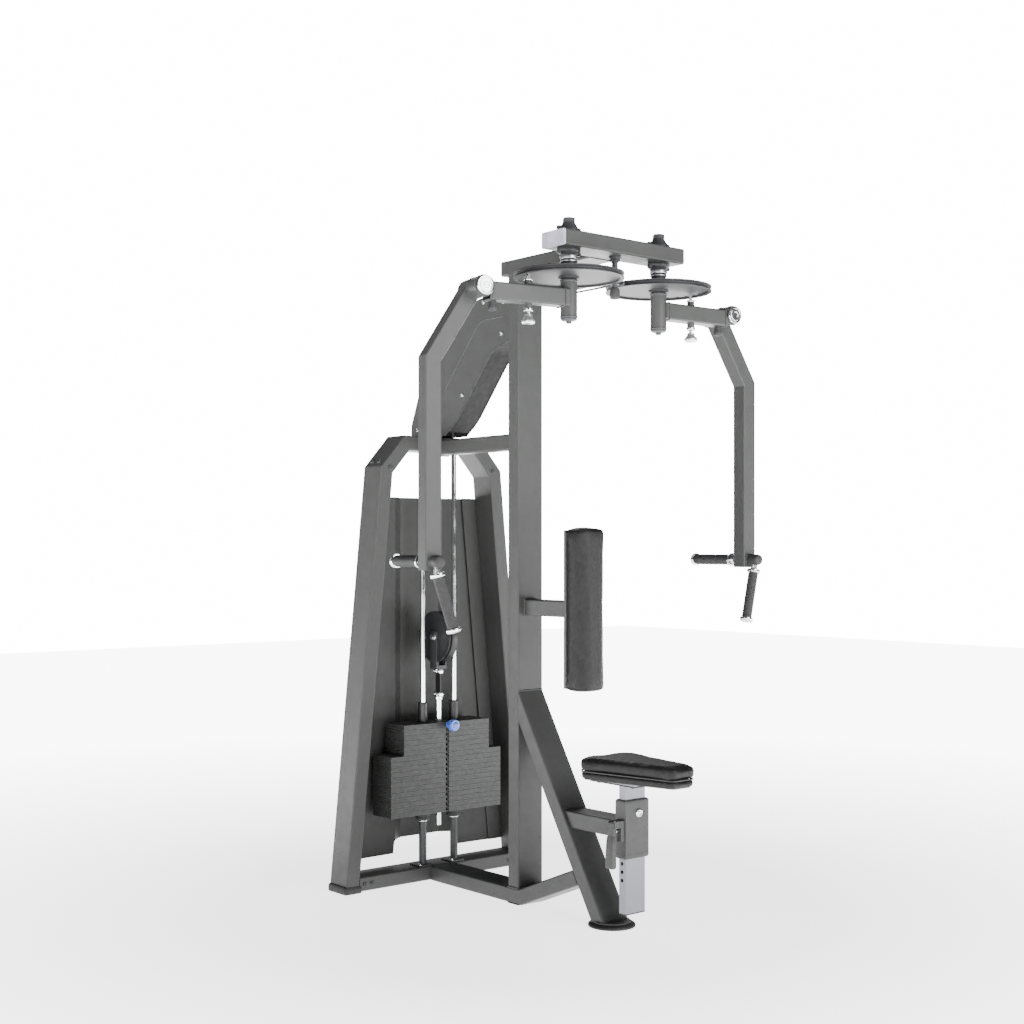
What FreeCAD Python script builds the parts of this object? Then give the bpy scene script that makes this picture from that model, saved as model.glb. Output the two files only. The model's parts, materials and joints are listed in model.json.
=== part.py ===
"""Pec deck (pec fly and rear delt) weight machine, a parametric FreeCAD document in millimetres.

Frame: Z up, origin on the floor under the middle of the main column's section.
The user sits at -Y, facing -Y with the back on the vertical pad; the weight tower stands at +Y.
Arms stand where they rest: the left lever is pinned one cam hole further back than the right one.
"""
import FreeCAD, Part
import math
import os
from FreeCAD import Placement, Rotation, Vector

DIMENSIONS = [
    # frame tubes
    ("column_wide", 100), ("column_deep", 50), ("tube_wall", 3), ("tube_round", 5), ("spine_high", 50),
    ("beam_bottom", 1953), ("beam_high", 46), ("beam_deep", 100), ("crossbeam_long", 470),
    ("crossbeam_y", -404), ("boom_rear", 55),
    ("leg_section", 50), ("leg_top", 662), ("leg_reach", 395), ("foot_radius", 70), ("foot_high", 12),
    ("riser_angle", 22), ("riser_bend", 10), ("floor_gap", 2), ("cable_slot_wide", 54),
    ("cable_slot_high", 20),
    # weight tower
    ("tower_front", 425), ("tower_deep", 99), ("tower_leg_wide", 49), ("tower_foot_half", 385),
    ("tower_shoulder_half", 250), ("tower_shoulder_z", 1369), ("tower_top_half", 158),
    ("tower_top", 1473), ("shoe_high", 24), ("shoe_sole", 3), ("base_high", 46),
    ("link_bottom", 1412), ("link_high", 50), ("link_wide", 50),
    ("shield_bottom", 85), ("shield_top", 1275), ("shield_notch_half", 122), ("shield_notch_top", 130),
    ("shield_flat_half", 79), ("shield_bulge", 34), ("shield_wing", 330), ("shield_inset", 8),
    ("strip_wide", 55),
    ("sheet_thick", 2), ("guard_half", 45), ("guard_thick", 3), ("guard_edge", 4), ("base_bottom", 4),
    # weight stack and lift
    ("rod_x", 65), ("rod_y", 451), ("rod_radius", 8.5), ("plate_deep", 105), ("wide_plate_long", 454),
    ("narrow_plate_long", 352), ("plate_pitch", 16.6), ("plate_gap", 0.8), ("wide_count", 12),
    ("narrow_count", 5), ("stack_bottom", 228), ("selector_radius", 10), ("pin_radius", 5),
    ("wheel_z", 807), ("wheel_radius", 86), ("wheel_cable_radius", 80), ("wheel_wide", 30),
    ("strap_wide", 25), ("strap_thick", 4), ("cable_radius", 3),
    ("upper_pulley_radius", 50), ("drop_pulley_radius", 30), ("pulley_wide", 16), ("cable_z", 1876),
    ("upper_pulley_y", 95), ("front_drop_z", 1565), ("rear_drop_z", 1510), ("axle_radius", 6),
    ("stem_top", 612), ("selector_below", 50), ("yoke_bottom", 700), ("yoke_deep", 36), ("yoke_cheek", 4),
    ("spacer_radius", 13), ("collar_radius", 22.5), ("collar_high", 26), ("rod_base", 56),
    ("rod_sleeve_radius", 15), ("rod_sleeve_high", 65),
    # pivots, levers and arms
    ("pivot_x", 180), ("shaft_radius", 12.5), ("cam_radius", 160), ("cam_bottom", 1868),
    ("cam_high", 16), ("cam_hub_radius", 22.5), ("cam_hub_top", 1921), ("cam_boss_radius", 30),
    ("cam_rim", 14), ("cam_web", 6), ("hub_radius", 24), ("hub_bottom", 1757), ("hub_top", 1866),
    ("top_z", 2041),
    ("lever_bottom", 1788), ("lever_section", 50), ("hinge_reach", 285), ("hinge_z", 1823),
    ("barrel_radius", 29), ("hinge_pin_radius", 10), ("arm_section", 50), ("arm_offset", 51),
    ("bend_reach", 413), ("bend_z", 1620), ("handle_z", 1067), ("pin_reach", 132), ("hole_pitch", 14),
    ("left_turn", -11), ("right_turn", -3), ("grip_radius", 16), ("stem_radius", 12),
    ("hang_inward", 16), ("hang_forward", 4), ("flange_high", 8), ("boss_high", 22), ("boss_radius", 25),
    ("stop_long", 123), ("cap_radius", 24), ("shaft_cap_radius", 16), ("stub_radius", 17),
    ("stub_long", 42), ("neck_radius", 10),
    ("drop_start", 16), ("drop_end", 163),
    # seat and back pad
    ("post_wide", 80), ("post_deep", 30), ("post_y", -476), ("post_bottom", 57), ("seat_bottom", 436),
    ("seat_top", 498), ("seat_plate_thick", 8), ("sleeve_bottom", 218), ("sleeve_top", 380),
    ("sleeve_wall", 6), ("slide_gap", 0.1), ("bracket_bottom", 271), ("bracket_high", 50),
    ("bracket_wide", 80), ("post_hole_pitch", 24), ("latch_z", 296), ("latch_radius", 5),
    ("pad_wide", 100), ("pad_deep", 75), ("pad_y", -281), ("pad_bottom", 676), ("pad_top", 1165),
    ("pad_board", 12), ("pad_tube_bottom", 895),
]

doc = FreeCAD.newDocument("pec_deck")
sheet = doc.addObject("Spreadsheet::Sheet", "dims")
for row, (alias, value) in enumerate(DIMENSIONS, start=1):
    sheet.set("A%d" % row, alias)
    sheet.set("B%d" % row, str(value))
    sheet.setAlias("B%d" % row, alias)
doc.recompute()

size = {alias: float(sheet.get(alias)) for alias, _ in DIMENSIONS}
X_AXIS, Y_AXIS, Z_AXIS = Vector(1, 0, 0), Vector(0, 1, 0), Vector(0, 0, 1)
ALONG = {"X": Rotation(Y_AXIS, 90), "Y": Rotation(X_AXIS, -90), "Z": Rotation()}
PLANE_NORMAL = {"XY": Z_AXIS, "XZ": Y_AXIS, "YZ": X_AXIS}
RUN_GAP = 0.1         # radial play of a running fit
pieces = []


# ---------------------------------------------------------------- helpers

def bind(obj, prop, expression):
    """Bind a property to cells of the sheet; a plain number is set as it is."""
    if isinstance(expression, (int, float)):
        setattr(obj, prop, expression)
        return
    words = []
    for word in expression.split():
        words.append("dims." + word if word in size else word)
    obj.setExpression(prop, " ".join(words))


def piece(obj, label):
    """Keep an object as one sub-part of the machine."""
    obj.Label = label
    pieces.append(obj)
    return obj


def box(long, deep, high, corner):
    obj = doc.addObject("Part::Box", "block")
    bind(obj, "Length", long)
    bind(obj, "Width", deep)
    bind(obj, "Height", high)
    obj.Placement = Placement(Vector(*corner), Rotation())
    return obj


def rod(radius, length, start, axis="Z", turn=None):
    obj = doc.addObject("Part::Cylinder", "rod")
    bind(obj, "Radius", radius)
    bind(obj, "Height", length)
    obj.Placement = Placement(Vector(*start), turn or ALONG[axis])
    return obj


def cone(low_radius, high_radius, length, start):
    obj = doc.addObject("Part::Cone", "cone")
    bind(obj, "Radius1", low_radius)
    bind(obj, "Radius2", high_radius)
    bind(obj, "Height", length)
    obj.Placement = Placement(Vector(*start), Rotation())
    return obj


def group(*objects):
    obj = doc.addObject("Part::Compound", "group")
    obj.Links = list(objects)
    return obj


def join(*objects):
    obj = doc.addObject("Part::MultiFuse", "joined")
    obj.Shapes = list(objects)
    obj.Refine = True
    return obj


def carve(base, *tools):
    obj = doc.addObject("Part::Cut", "carved")
    obj.Base = base
    obj.Tool = tools[0] if len(tools) == 1 else join(*tools)
    return obj


def ring(outer, inner, length, start, axis="Z"):
    """A plain tube or washer about an axis."""
    direction = ALONG[axis].multVec(Z_AXIS)
    before = Vector(*start) - direction
    bore = rod(inner, size_of(length) + 2, (before.x, before.y, before.z), axis)
    return carve(rod(outer, length, start, axis), bore)


def size_of(expression):
    return expression if isinstance(expression, (int, float)) else size[expression]


def tube(long, deep, high, corner, axis):
    """A rolled rectangular tube with rounded long edges, open at both ends."""
    outer = box(long, deep, high, corner)
    outer.recompute()
    rounded = doc.addObject("Part::Fillet", "rounded")
    rounded.Base = outer
    direction = ALONG[axis].multVec(Z_AXIS)
    radius = size["tube_round"]
    rounded.Edges = [(number, radius, radius) for number in edges_along(outer.Shape, direction)]
    wall = size["tube_wall"]
    lengths = [size_of(value) for value in (long, deep, high)]
    inner_size = []
    inner_corner = []
    for place, length, unit in zip(corner, lengths, (X_AXIS, Y_AXIS, Z_AXIS)):
        along = abs(direction.dot(unit)) > 0.5
        inner_corner.append(place - 1 if along else place + wall)
        inner_size.append(length + 2 if along else length - 2 * wall)
    return carve(rounded, box(*inner_size, inner_corner))


def edges_along(shape, direction):
    numbers = []
    for number, edge in enumerate(shape.Edges, start=1):
        line = edge.Vertexes[-1].Point - edge.Vertexes[0].Point
        if line.Length > 0 and abs(abs(line.normalize().dot(direction)) - 1) < 1e-6:
            numbers.append(number)
    return numbers


def rounded_outline(points, radii):
    """Lines and tangent arcs round a closed outline; one corner radius for each point."""
    corners = [Vector(a, b, 0) for a, b in points]
    count = len(corners)
    ends = []
    for index, corner in enumerate(corners):
        to_last = (corners[index - 1] - corner).normalize()
        to_next = (corners[(index + 1) % count] - corner).normalize()
        half = to_last.getAngle(to_next) / 2
        setback = radii[index] / math.tan(half)
        middle = corner + (to_last + to_next).normalize() * (radii[index] / math.sin(half) - radii[index])
        ends.append((corner + to_last * setback, middle, corner + to_next * setback))
    curves = []
    for index, (start, middle, end) in enumerate(ends):
        if radii[index] > 0:
            curves.append(Part.Arc(start, middle, end))
        curves.append(Part.LineSegment(end, ends[(index + 1) % count][0]))
    return curves


def body_sketch(body, plane, curves):
    sketch = body.newObject("Sketcher::SketchObject", "outline")
    role = plane + "_Plane"
    origin_plane = [item for item in body.Origin.OriginFeatures if item.Role == role][0]
    sketch.AttachmentSupport = [(origin_plane, "")]
    sketch.MapMode = "FlatFace"
    for curve in curves:
        sketch.addGeometry(curve, False)
    return sketch


def slab(plane, points, radii, thickness, centre=0.0):
    """A plate cut to an outline in a plane and thickened evenly to both sides of centre."""
    if isinstance(radii, (int, float)):
        radii = [radii] * len(points)
    body = doc.addObject("PartDesign::Body", "plate")
    outline = body_sketch(body, plane, rounded_outline(points, radii))
    pad = body.newObject("PartDesign::Pad", "thickness")
    pad.Profile = outline
    pad.SideType = "Symmetric"
    bind(pad, "Length", thickness)
    body.Tip = pad
    body.Placement = Placement(PLANE_NORMAL[plane] * centre, Rotation())
    return body


def meeting(a, direction_a, b, direction_b):
    """Where two lines in a plane cross."""
    cross = direction_a[0] * direction_b[1] - direction_a[1] * direction_b[0]
    step = ((b[0] - a[0]) * direction_b[1] - (b[1] - a[1]) * direction_b[0]) / cross
    return (a[0] + direction_a[0] * step, a[1] + direction_a[1] * step)


def inner_line(points, offset):
    """The line a tube's other face follows, offset to the left of an open line of points."""
    moved = []
    for start, end in zip(points, points[1:]):
        run = math.hypot(end[0] - start[0], end[1] - start[1])
        direction = ((end[0] - start[0]) / run, (end[1] - start[1]) / run)
        shift = (-direction[1] * offset, direction[0] * offset)
        moved.append(((start[0] + shift[0], start[1] + shift[1]), direction))
    corners = [moved[0][0]]
    for (a, direction_a), (b, direction_b) in zip(moved, moved[1:]):
        corners.append(meeting(a, direction_a, b, direction_b))
    last = moved[-1]
    run = math.hypot(points[-1][0] - points[-2][0], points[-1][1] - points[-2][1])
    corners.append((last[0][0] + last[1][0] * run, last[0][1] + last[1][1] * run))
    return corners


def mitred_tube(plane, quad, wide, centre=0.0):
    """A tube whose side view is a quad (two outer corners, then two inner ones), open at its ends."""
    outer_start, outer_end, inner_end, inner_start = quad
    body = slab(plane, quad, 0, wide, centre)
    pad = body.Tip
    doc.recompute()
    wall = size["tube_wall"]
    across = math.hypot(outer_end[0] - outer_start[0], outer_end[1] - outer_start[1])
    unit = ((outer_end[0] - outer_start[0]) / across, (outer_end[1] - outer_start[1]) / across)
    thick = abs((inner_start[0] - outer_start[0]) * unit[1] - (inner_start[1] - outer_start[1]) * unit[0])
    share = wall / thick
    direction = plane_vector(plane, *unit)
    long_edges = ["Edge%d" % number for number in edges_along(pad.Shape, direction)]
    rounded = body.newObject("PartDesign::Fillet", "rounded")
    rounded.Base = (pad, long_edges)
    bind(rounded, "Radius", "tube_round")
    body.Tip = rounded

    def between(outer, inner, amount, stretch):
        return (outer[0] + (inner[0] - outer[0]) * amount + unit[0] * stretch,
                outer[1] + (inner[1] - outer[1]) * amount + unit[1] * stretch)

    hollow = [between(outer_start, inner_start, share, -1), between(outer_end, inner_end, share, 1),
              between(outer_end, inner_end, 1 - share, 1), between(outer_start, inner_start, 1 - share, -1)]
    core = slab(plane, hollow, 0, size_of(wide) - 2 * wall, centre)
    return carve(body, core)


def plane_vector(plane, a, b):
    return {"XY": Vector(a, b, 0), "XZ": Vector(a, 0, b), "YZ": Vector(0, a, b)}[plane]


def turned(profile, base=(0, 0, 0)):
    """A ring or wheel turned from a closed (radius, height) outline about a vertical line."""
    body = doc.addObject("PartDesign::Body", "turned")
    outline = body_sketch(body, "XZ", rounded_outline(profile, [0] * len(profile)))
    spin = body.newObject("PartDesign::Revolution", "spin")
    spin.Profile = outline
    spin.ReferenceAxis = (outline, ["V_Axis"])
    spin.Angle = 360
    body.Tip = spin
    body.Placement = Placement(Vector(*base), Rotation())
    return body


def wheel(radius, groove_radius, bore, wide, centre):
    """A grooved cable wheel on an axis along X."""
    half = wide / 2
    floor = groove_radius - size["cable_radius"] - 0.3
    hub = radius * 0.35
    web = half * 0.6
    lip = min(radius * 0.82, floor - 4)
    profile = [(bore, -half), (hub, -half), (hub, -web), (lip, -web), (lip, -half), (radius, -half),
               (floor, -4), (floor, 4), (radius, half), (lip, half), (lip, web), (hub, web), (hub, half),
               (bore, half)]
    body = turned(profile)
    body.Placement = Placement(Vector(*centre), ALONG["X"])
    return body


def cable(points, radii, label):
    """A round cable along straight runs joined by tangent arcs."""
    route = [Vector(*point) for point in points]
    edges = []
    start = route[0]
    for index in range(1, len(route) - 1):
        corner = route[index]
        to_last = (route[index - 1] - corner).normalize()
        to_next = (route[index + 1] - corner).normalize()
        half = to_last.getAngle(to_next) / 2
        radius = radii[index - 1]
        setback = radius / math.tan(half)
        middle = corner + (to_last + to_next).normalize() * (radius / math.sin(half) - radius)
        edges.append(Part.LineSegment(start, corner + to_last * setback).toShape())
        start = corner + to_next * setback
        edges.append(Part.Arc(corner + to_last * setback, middle, start).toShape())
    edges.append(Part.LineSegment(start, route[-1]).toShape())
    path = Part.Wire(edges)
    first = (route[1] - route[0]).normalize()
    profile = Part.Wire(Part.Circle(route[0], first, size["cable_radius"]).toShape())
    solid = path.makePipeShell([profile], True, False)
    expected = math.pi * size["cable_radius"] ** 2 * path.Length
    print("%s: length %.0f mm, corner radii %s, volume ratio %.4f"
          % (label, path.Length, radii, solid.Volume / expected))
    obj = doc.addObject("Part::Feature", "cable")
    obj.Shape = solid
    return piece(obj, label)


# ---------------------------------------------------------------- main frame

def main_frame():
    half_wide = size["column_wide"] / 2
    half_deep = size["column_deep"] / 2
    spine = size["spine_high"]
    column = tube("column_wide", "column_deep", size["beam_bottom"] - spine,
                  (-half_wide, -half_deep, spine), "Z")
    slot = box("cable_slot_wide", "column_wide", "cable_slot_high",
               (-size["cable_slot_wide"] / 2, -half_wide, size["cable_z"] - size["cable_slot_high"] / 2))
    piece(carve(column, slot), "main_column")

    beam_half = size["beam_deep"] / 2
    boom_front = size["crossbeam_y"] + beam_half
    piece(tube("beam_deep", size["boom_rear"] - boom_front, "beam_high",
               (-beam_half, boom_front, size["beam_bottom"]), "Y"), "overhead_boom")
    crossbeam = tube("crossbeam_long", "beam_deep", "beam_high",
                     (-size["crossbeam_long"] / 2, size["crossbeam_y"] - beam_half, size["beam_bottom"]), "X")
    wall = size["tube_wall"]
    end_caps = [box(wall, size["beam_deep"] - wall, size["beam_high"] - wall,
                    (side * (size["crossbeam_long"] - wall) / 2 - wall / 2,
                     size["crossbeam_y"] - beam_half + wall / 2, size["beam_bottom"] + wall / 2))
                for side in (-1, 1)]
    shaft_holes = [rod(size["shaft_radius"] + 3, size["beam_high"] + 2,
                       (side * size["pivot_x"], size["crossbeam_y"], size["beam_bottom"] - 1))
                   for side in (-1, 1)]
    piece(carve(join(crossbeam, *end_caps), *shaft_holes), "crossbeam")

    # front leg: slants from the column's front face down to the round foot
    column_front = -half_deep
    tangent = size["leg_reach"] / size["leg_top"]
    slant = math.atan(tangent)
    front_top = (column_front, size["leg_top"])
    back_top = (column_front, size["leg_top"] - size["leg_section"] / math.sin(slant))
    foot_top = size["foot_high"]
    front_low = (column_front - (size["leg_top"] - foot_top) * tangent, foot_top)
    back_low = (column_front - (back_top[1] - foot_top) * tangent, foot_top)
    piece(mitred_tube("YZ", [front_top, front_low, back_low, back_top], "column_wide"), "front_leg")

    # spine: along the floor from the tower, then rising to the back of the front leg
    rise = math.radians(size["riser_angle"])
    floor_gap = size["floor_gap"]
    bend = (column_front - size["riser_bend"], floor_gap)
    low_end = meeting(bend, (-math.cos(rise), math.sin(rise)), back_low, (tangent, 1))
    bottom = [(size["tower_front"], floor_gap), bend, low_end]
    top = inner_line(bottom, floor_gap - spine)
    high_end = meeting(top[1], (-math.cos(rise), math.sin(rise)), back_low, (tangent, 1))
    floor_run = mitred_tube("YZ", [bottom[0], bottom[1], top[1], top[0]], "column_wide")
    riser = mitred_tube("YZ", [bottom[1], low_end, high_end, top[1]], "column_wide")
    piece(join(floor_run, riser), "spine_tube")
    return {"slant": slant, "tangent": tangent, "front_top": front_top}


def floor_feet():
    """The round front foot, the two rubber shoes of the tower and the flat pad under the column."""
    foot_back = 29
    foot_y = -size["column_deep"] / 2 - size["leg_reach"] + foot_back
    radius, high = size["foot_radius"], size["foot_high"]
    bevel = 5
    rim = high / 2
    disc = turned([(0, 0), (radius, 0), (radius, rim), (radius - bevel, high), (0, high)], (0, foot_y, 0))
    shoes = []
    margin = 4
    wide = size["tower_leg_wide"] + 3 * margin
    for side in (-1, 1):
        outer = size["tower_foot_half"] + margin
        left = -outer if side < 0 else outer - wide
        block = box(wide, size["tower_deep"] + 2 * margin, "shoe_high",
                    (left, size["tower_front"] - margin, 0))
        shoes.append(carve(block, tower_leg_core(side), base_core()))
    column_pad = box("column_wide", "column_deep", "floor_gap",
                     (-size["column_wide"] / 2, -size["column_deep"] / 2, 0))
    piece(group(disc, column_pad, *shoes), "floor_feet")


def tower_outline():
    """Outer line of the right half of the tower frame, from the sole up to the middle of its top."""
    sole = size["shoe_sole"]
    lean = (size["tower_foot_half"] - size["tower_shoulder_half"]) / size["tower_shoulder_z"]
    return [(size["tower_foot_half"] - lean * sole, sole),
            (size["tower_shoulder_half"], size["tower_shoulder_z"]),
            (size["tower_top_half"], size["tower_top"]), (0, size["tower_top"])]


def tower_corners():
    outer = tower_outline()
    inner = inner_line(outer, size["tower_leg_wide"])
    slope = (inner[1][0] - inner[0][0]) / (inner[1][1] - inner[0][1])
    inner[0] = (inner[0][0] + (outer[0][1] - inner[0][1]) * slope, outer[0][1])
    return outer, inner


def tower_leg_core(side):
    """The solid space that one tower leg takes up."""
    outer, inner = tower_corners()
    quad = [(side * x, z) for x, z in (outer[0], outer[1], inner[1], inner[0])]
    centre = size["tower_front"] + size["tower_deep"] / 2
    return slab("XZ", quad, 0, "tower_deep", centre)


def base_core():
    inner_half = tower_corners()[1][0][0]
    return box(2 * inner_half, "tower_deep", "base_high",
               (-inner_half, size["tower_front"], size["base_bottom"]))


def tower():
    outer, inner = tower_corners()
    centre = size["tower_front"] + size["tower_deep"] / 2
    for side, name in ((-1, "tower_left_leg"), (1, "tower_right_leg")):
        parts = []
        for index in (0, 1):
            quad = [outer[index], outer[index + 1], inner[index + 1], inner[index]]
            parts.append(mitred_tube("XZ", [(side * x, z) for x, z in quad], "tower_deep", centre))
        parts.append(shield_strip(side, inner))
        piece(group(*parts), name)
    top_bar = [(outer[2][0], outer[2][1]), (-outer[2][0], outer[2][1]),
               (-inner[2][0], inner[2][1]), (inner[2][0], inner[2][1])]
    piece(mitred_tube("XZ", top_bar, "tower_deep", centre), "tower_top_bar")

    # base tube, cut to the slant of the legs
    bottom = size["base_bottom"]
    top = bottom + size["base_high"]
    slope = (inner[1][0] - inner[0][0]) / (inner[1][1] - inner[0][1])
    low = inner[0][0] + (bottom - inner[0][1]) * slope
    high = inner[0][0] + (top - inner[0][1]) * slope
    piece(mitred_tube("XZ", [(-low, bottom), (low, bottom), (high, top), (-high, top)], "tower_deep",
                      centre), "tower_base_tube")

    link = tube("link_wide", size["tower_front"] - size["column_deep"] / 2, "link_high",
                (-size["link_wide"] / 2, size["column_deep"] / 2, size["link_bottom"]), "Y")
    cable_y = size["rod_y"] - size["wheel_cable_radius"]
    slot_wide, slot_deep = 16, 24
    slot = box(slot_wide, slot_deep, size["link_high"] + 2,
               (-slot_wide / 2, cable_y - slot_deep / 2, size["link_bottom"] - 1))
    piece(carve(link, slot), "link_beam")


def shield_strip(side, inner):
    """Flat bar along the rear inner edge of a tower leg, which the shield is screwed to."""
    slope = (inner[1][0] - inner[0][0]) / (inner[1][1] - inner[0][1])
    low, high = size["shield_bottom"], size["shield_top"]
    low_x = inner[0][0] + (low - inner[0][1]) * slope
    high_x = inner[0][0] + (high - inner[0][1]) * slope
    wide, thick = size["strip_wide"], size["guard_thick"]
    quad = [(low_x - wide, low), (low_x, low), (high_x, high), (high_x - wide, high)]
    back = size["tower_front"] + size["tower_deep"]
    return slab("XZ", [(side * x, z) for x, z in quad], 0, thick, back - thick / 2)


def rear_shield():
    """Folded sheet behind the stack: a flat middle panel, two folds, and wings out to the legs."""
    thick = size["sheet_thick"]
    back = size["tower_front"] + size["tower_deep"]
    middle_half, bulge, wing = size["shield_flat_half"], size["shield_bulge"], size["shield_wing"]
    fold_half, fold_out = middle_half + 40, back + 8
    front_line = [(-wing, back), (-fold_half, fold_out), (-middle_half, back + bulge),
                  (middle_half, back + bulge), (fold_half, fold_out), (wing, back)]
    rear_line = inner_line(front_line, thick)
    outline = front_line + rear_line[::-1]
    high = size["shield_top"] - size["shield_bottom"]
    sheet_body = slab("XY", outline, 0, high, (size["shield_top"] + size["shield_bottom"]) / 2)
    lean = (size["tower_foot_half"] - size["tower_shoulder_half"]) / size["tower_shoulder_z"]
    low_half = size["tower_foot_half"] - size["shield_inset"] - lean * size["shield_bottom"]
    high_half = size["tower_foot_half"] - size["shield_inset"] - lean * size["shield_top"]
    reach = 240
    face = [(-low_half, size["shield_bottom"]), (low_half, size["shield_bottom"]),
            (high_half, size["shield_top"] - 1), (-high_half, size["shield_top"] - 1)]
    limits = slab("XZ", face, 0, reach, back)
    trimmed = doc.addObject("Part::MultiCommon", "trimmed")
    trimmed.Shapes = [sheet_body, limits]
    notch_half = size["shield_notch_half"]
    flare = 15
    notch = slab("XZ", [(-notch_half - flare, 0), (notch_half + flare, 0),
                        (notch_half, size["shield_notch_top"]), (-notch_half, size["shield_notch_top"])],
                 [0, 0, 12, 12], reach, back)
    piece(carve(trimmed, notch), "rear_shield")


def cable_guard():
    """Two side plates and an edge strip between the column and the tower top."""
    column_back = size["column_deep"] / 2
    top = size["tower_top"]
    outline = [(column_back, 1752), (115, 1724), (293, 1518), (356, top), (543, top), (543, 1515),
               (470, 1690), (190, 1900), (column_back, 1900)]
    radii = [0, 45, 60, 0, 0, 60, 110, 110, 0]
    upper, front, rear = pulley_places()
    for side, name in ((-1, "guard_left_plate"), (1, "guard_right_plate")):
        centre = side * (size["guard_half"] - size["guard_thick"] / 2)
        plate = slab("YZ", outline, radii, "guard_thick", centre)
        if side < 0:
            piece(plate, name)
            continue
        reach = 2 * size["guard_half"] - 2 * size["guard_thick"]
        axles = [rod("axle_radius", reach, (-reach / 2, y, z), "X") for y, z in (upper, front, rear)]
        piece(join(plate, *axles), name)
    inside = 2 * (size["guard_half"] - size["guard_thick"])
    full = slab("YZ", outline, radii, inside)
    inset = size["guard_edge"]
    inner = [(column_back - 5, 1752 + inset), (117, 1724 + inset), (297, 1520 + inset), (358, top - 5),
             (543 - inset, top - 5), (543 - inset, 1514), (467, 1687), (188, 1900 - inset),
             (column_back - 5, 1900 - inset)]
    core = slab("YZ", inner, [0, 45, 60, 0, 0, 56, 106, 106, 0], inside + 4)
    piece(carve(full, core), "guard_cover")


def pulley_places():
    """Axle places (y, z) of the upper, front drop and rear drop pulleys."""
    drop = size["drop_pulley_radius"]
    front_y = size["rod_y"] - size["wheel_cable_radius"] - drop
    rear_y = size["rod_y"] + size["wheel_cable_radius"] - drop
    upper = (size["upper_pulley_y"], size["cable_z"] - size["upper_pulley_radius"])
    return upper, (front_y, size["front_drop_z"]), (rear_y, size["rear_drop_z"])


# ---------------------------------------------------------------- cables and pulleys

def over_tangent(a, radius_a, b, radius_b):
    """Tangent points of a cable that runs over two pulleys, in (y, z)."""
    run = math.hypot(b[0] - a[0], b[1] - a[1])
    heading = math.atan2(b[1] - a[1], b[0] - a[0])
    normal = heading + math.acos((radius_a - radius_b) / run)
    out = (math.cos(normal), math.sin(normal))
    return ((a[0] + radius_a * out[0], a[1] + radius_a * out[1]),
            (b[0] + radius_b * out[0], b[1] + radius_b * out[1]))


def cables():
    upper, front, rear = pulley_places()
    big, small = size["upper_pulley_radius"], size["drop_pulley_radius"]
    wide = size["pulley_wide"]
    lane = size["pivot_x"] - size["cam_radius"]
    rim = 1.5 * size["cable_radius"]
    bore = size["axle_radius"] + RUN_GAP
    piece(group(*[wheel(big + rim, big, bore, wide, (side * lane, *upper)) for side in (-1, 1)]),
          "upper_pulleys")
    piece(wheel(small + rim, small, bore, wide, (0, *front)), "front_drop_pulley")
    piece(wheel(small + rim, small, bore, wide, (0, *rear)), "rear_drop_pulley")

    start_y = size["crossbeam_y"]
    level = size["cable_z"]
    for side, place, name in ((-1, front, "left_cam_cable"), (1, rear, "right_cam_cable")):
        off, on = over_tangent(upper, big, place, small)
        corner = meeting((0, level), (1, 0), off, (on[0] - off[0], on[1] - off[1]))
        drop_y = place[0] + small
        low_corner = meeting(off, (on[0] - off[0], on[1] - off[1]), (drop_y, 0), (0, 1))
        points = [(side * lane, start_y, level), (side * lane, corner[0], corner[1]),
                  (0, low_corner[0], low_corner[1]), (0, drop_y, size["tower_top"])]
        cable(points, [big, small], name)

    wheel_y, wheel_z = size["rod_y"], size["wheel_z"]
    reach = size["wheel_cable_radius"]
    drops = [rod("cable_radius", size["tower_top"] - wheel_z, (0, wheel_y + side * reach, wheel_z))
             for side in (-1, 1)]
    piece(group(*drops), "cable_drops")
    wheel_wrap(wheel_y, wheel_z, reach)


def wheel_wrap(wheel_y, wheel_z, reach):
    """The half turn of cable under the floating wheel."""
    start = Vector(0, wheel_y - reach, wheel_z)
    arc = Part.Arc(start, Vector(0, wheel_y, wheel_z - reach), Vector(0, wheel_y + reach, wheel_z))
    profile = Part.Wire(Part.Circle(start, Z_AXIS, size["cable_radius"]).toShape())
    obj = doc.addObject("Part::Feature", "cable")
    obj.Shape = Part.Wire([arc.toShape()]).makePipeShell([profile], True, False)
    piece(obj, "wheel_cable")


# ---------------------------------------------------------------- weight stack and lift

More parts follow.
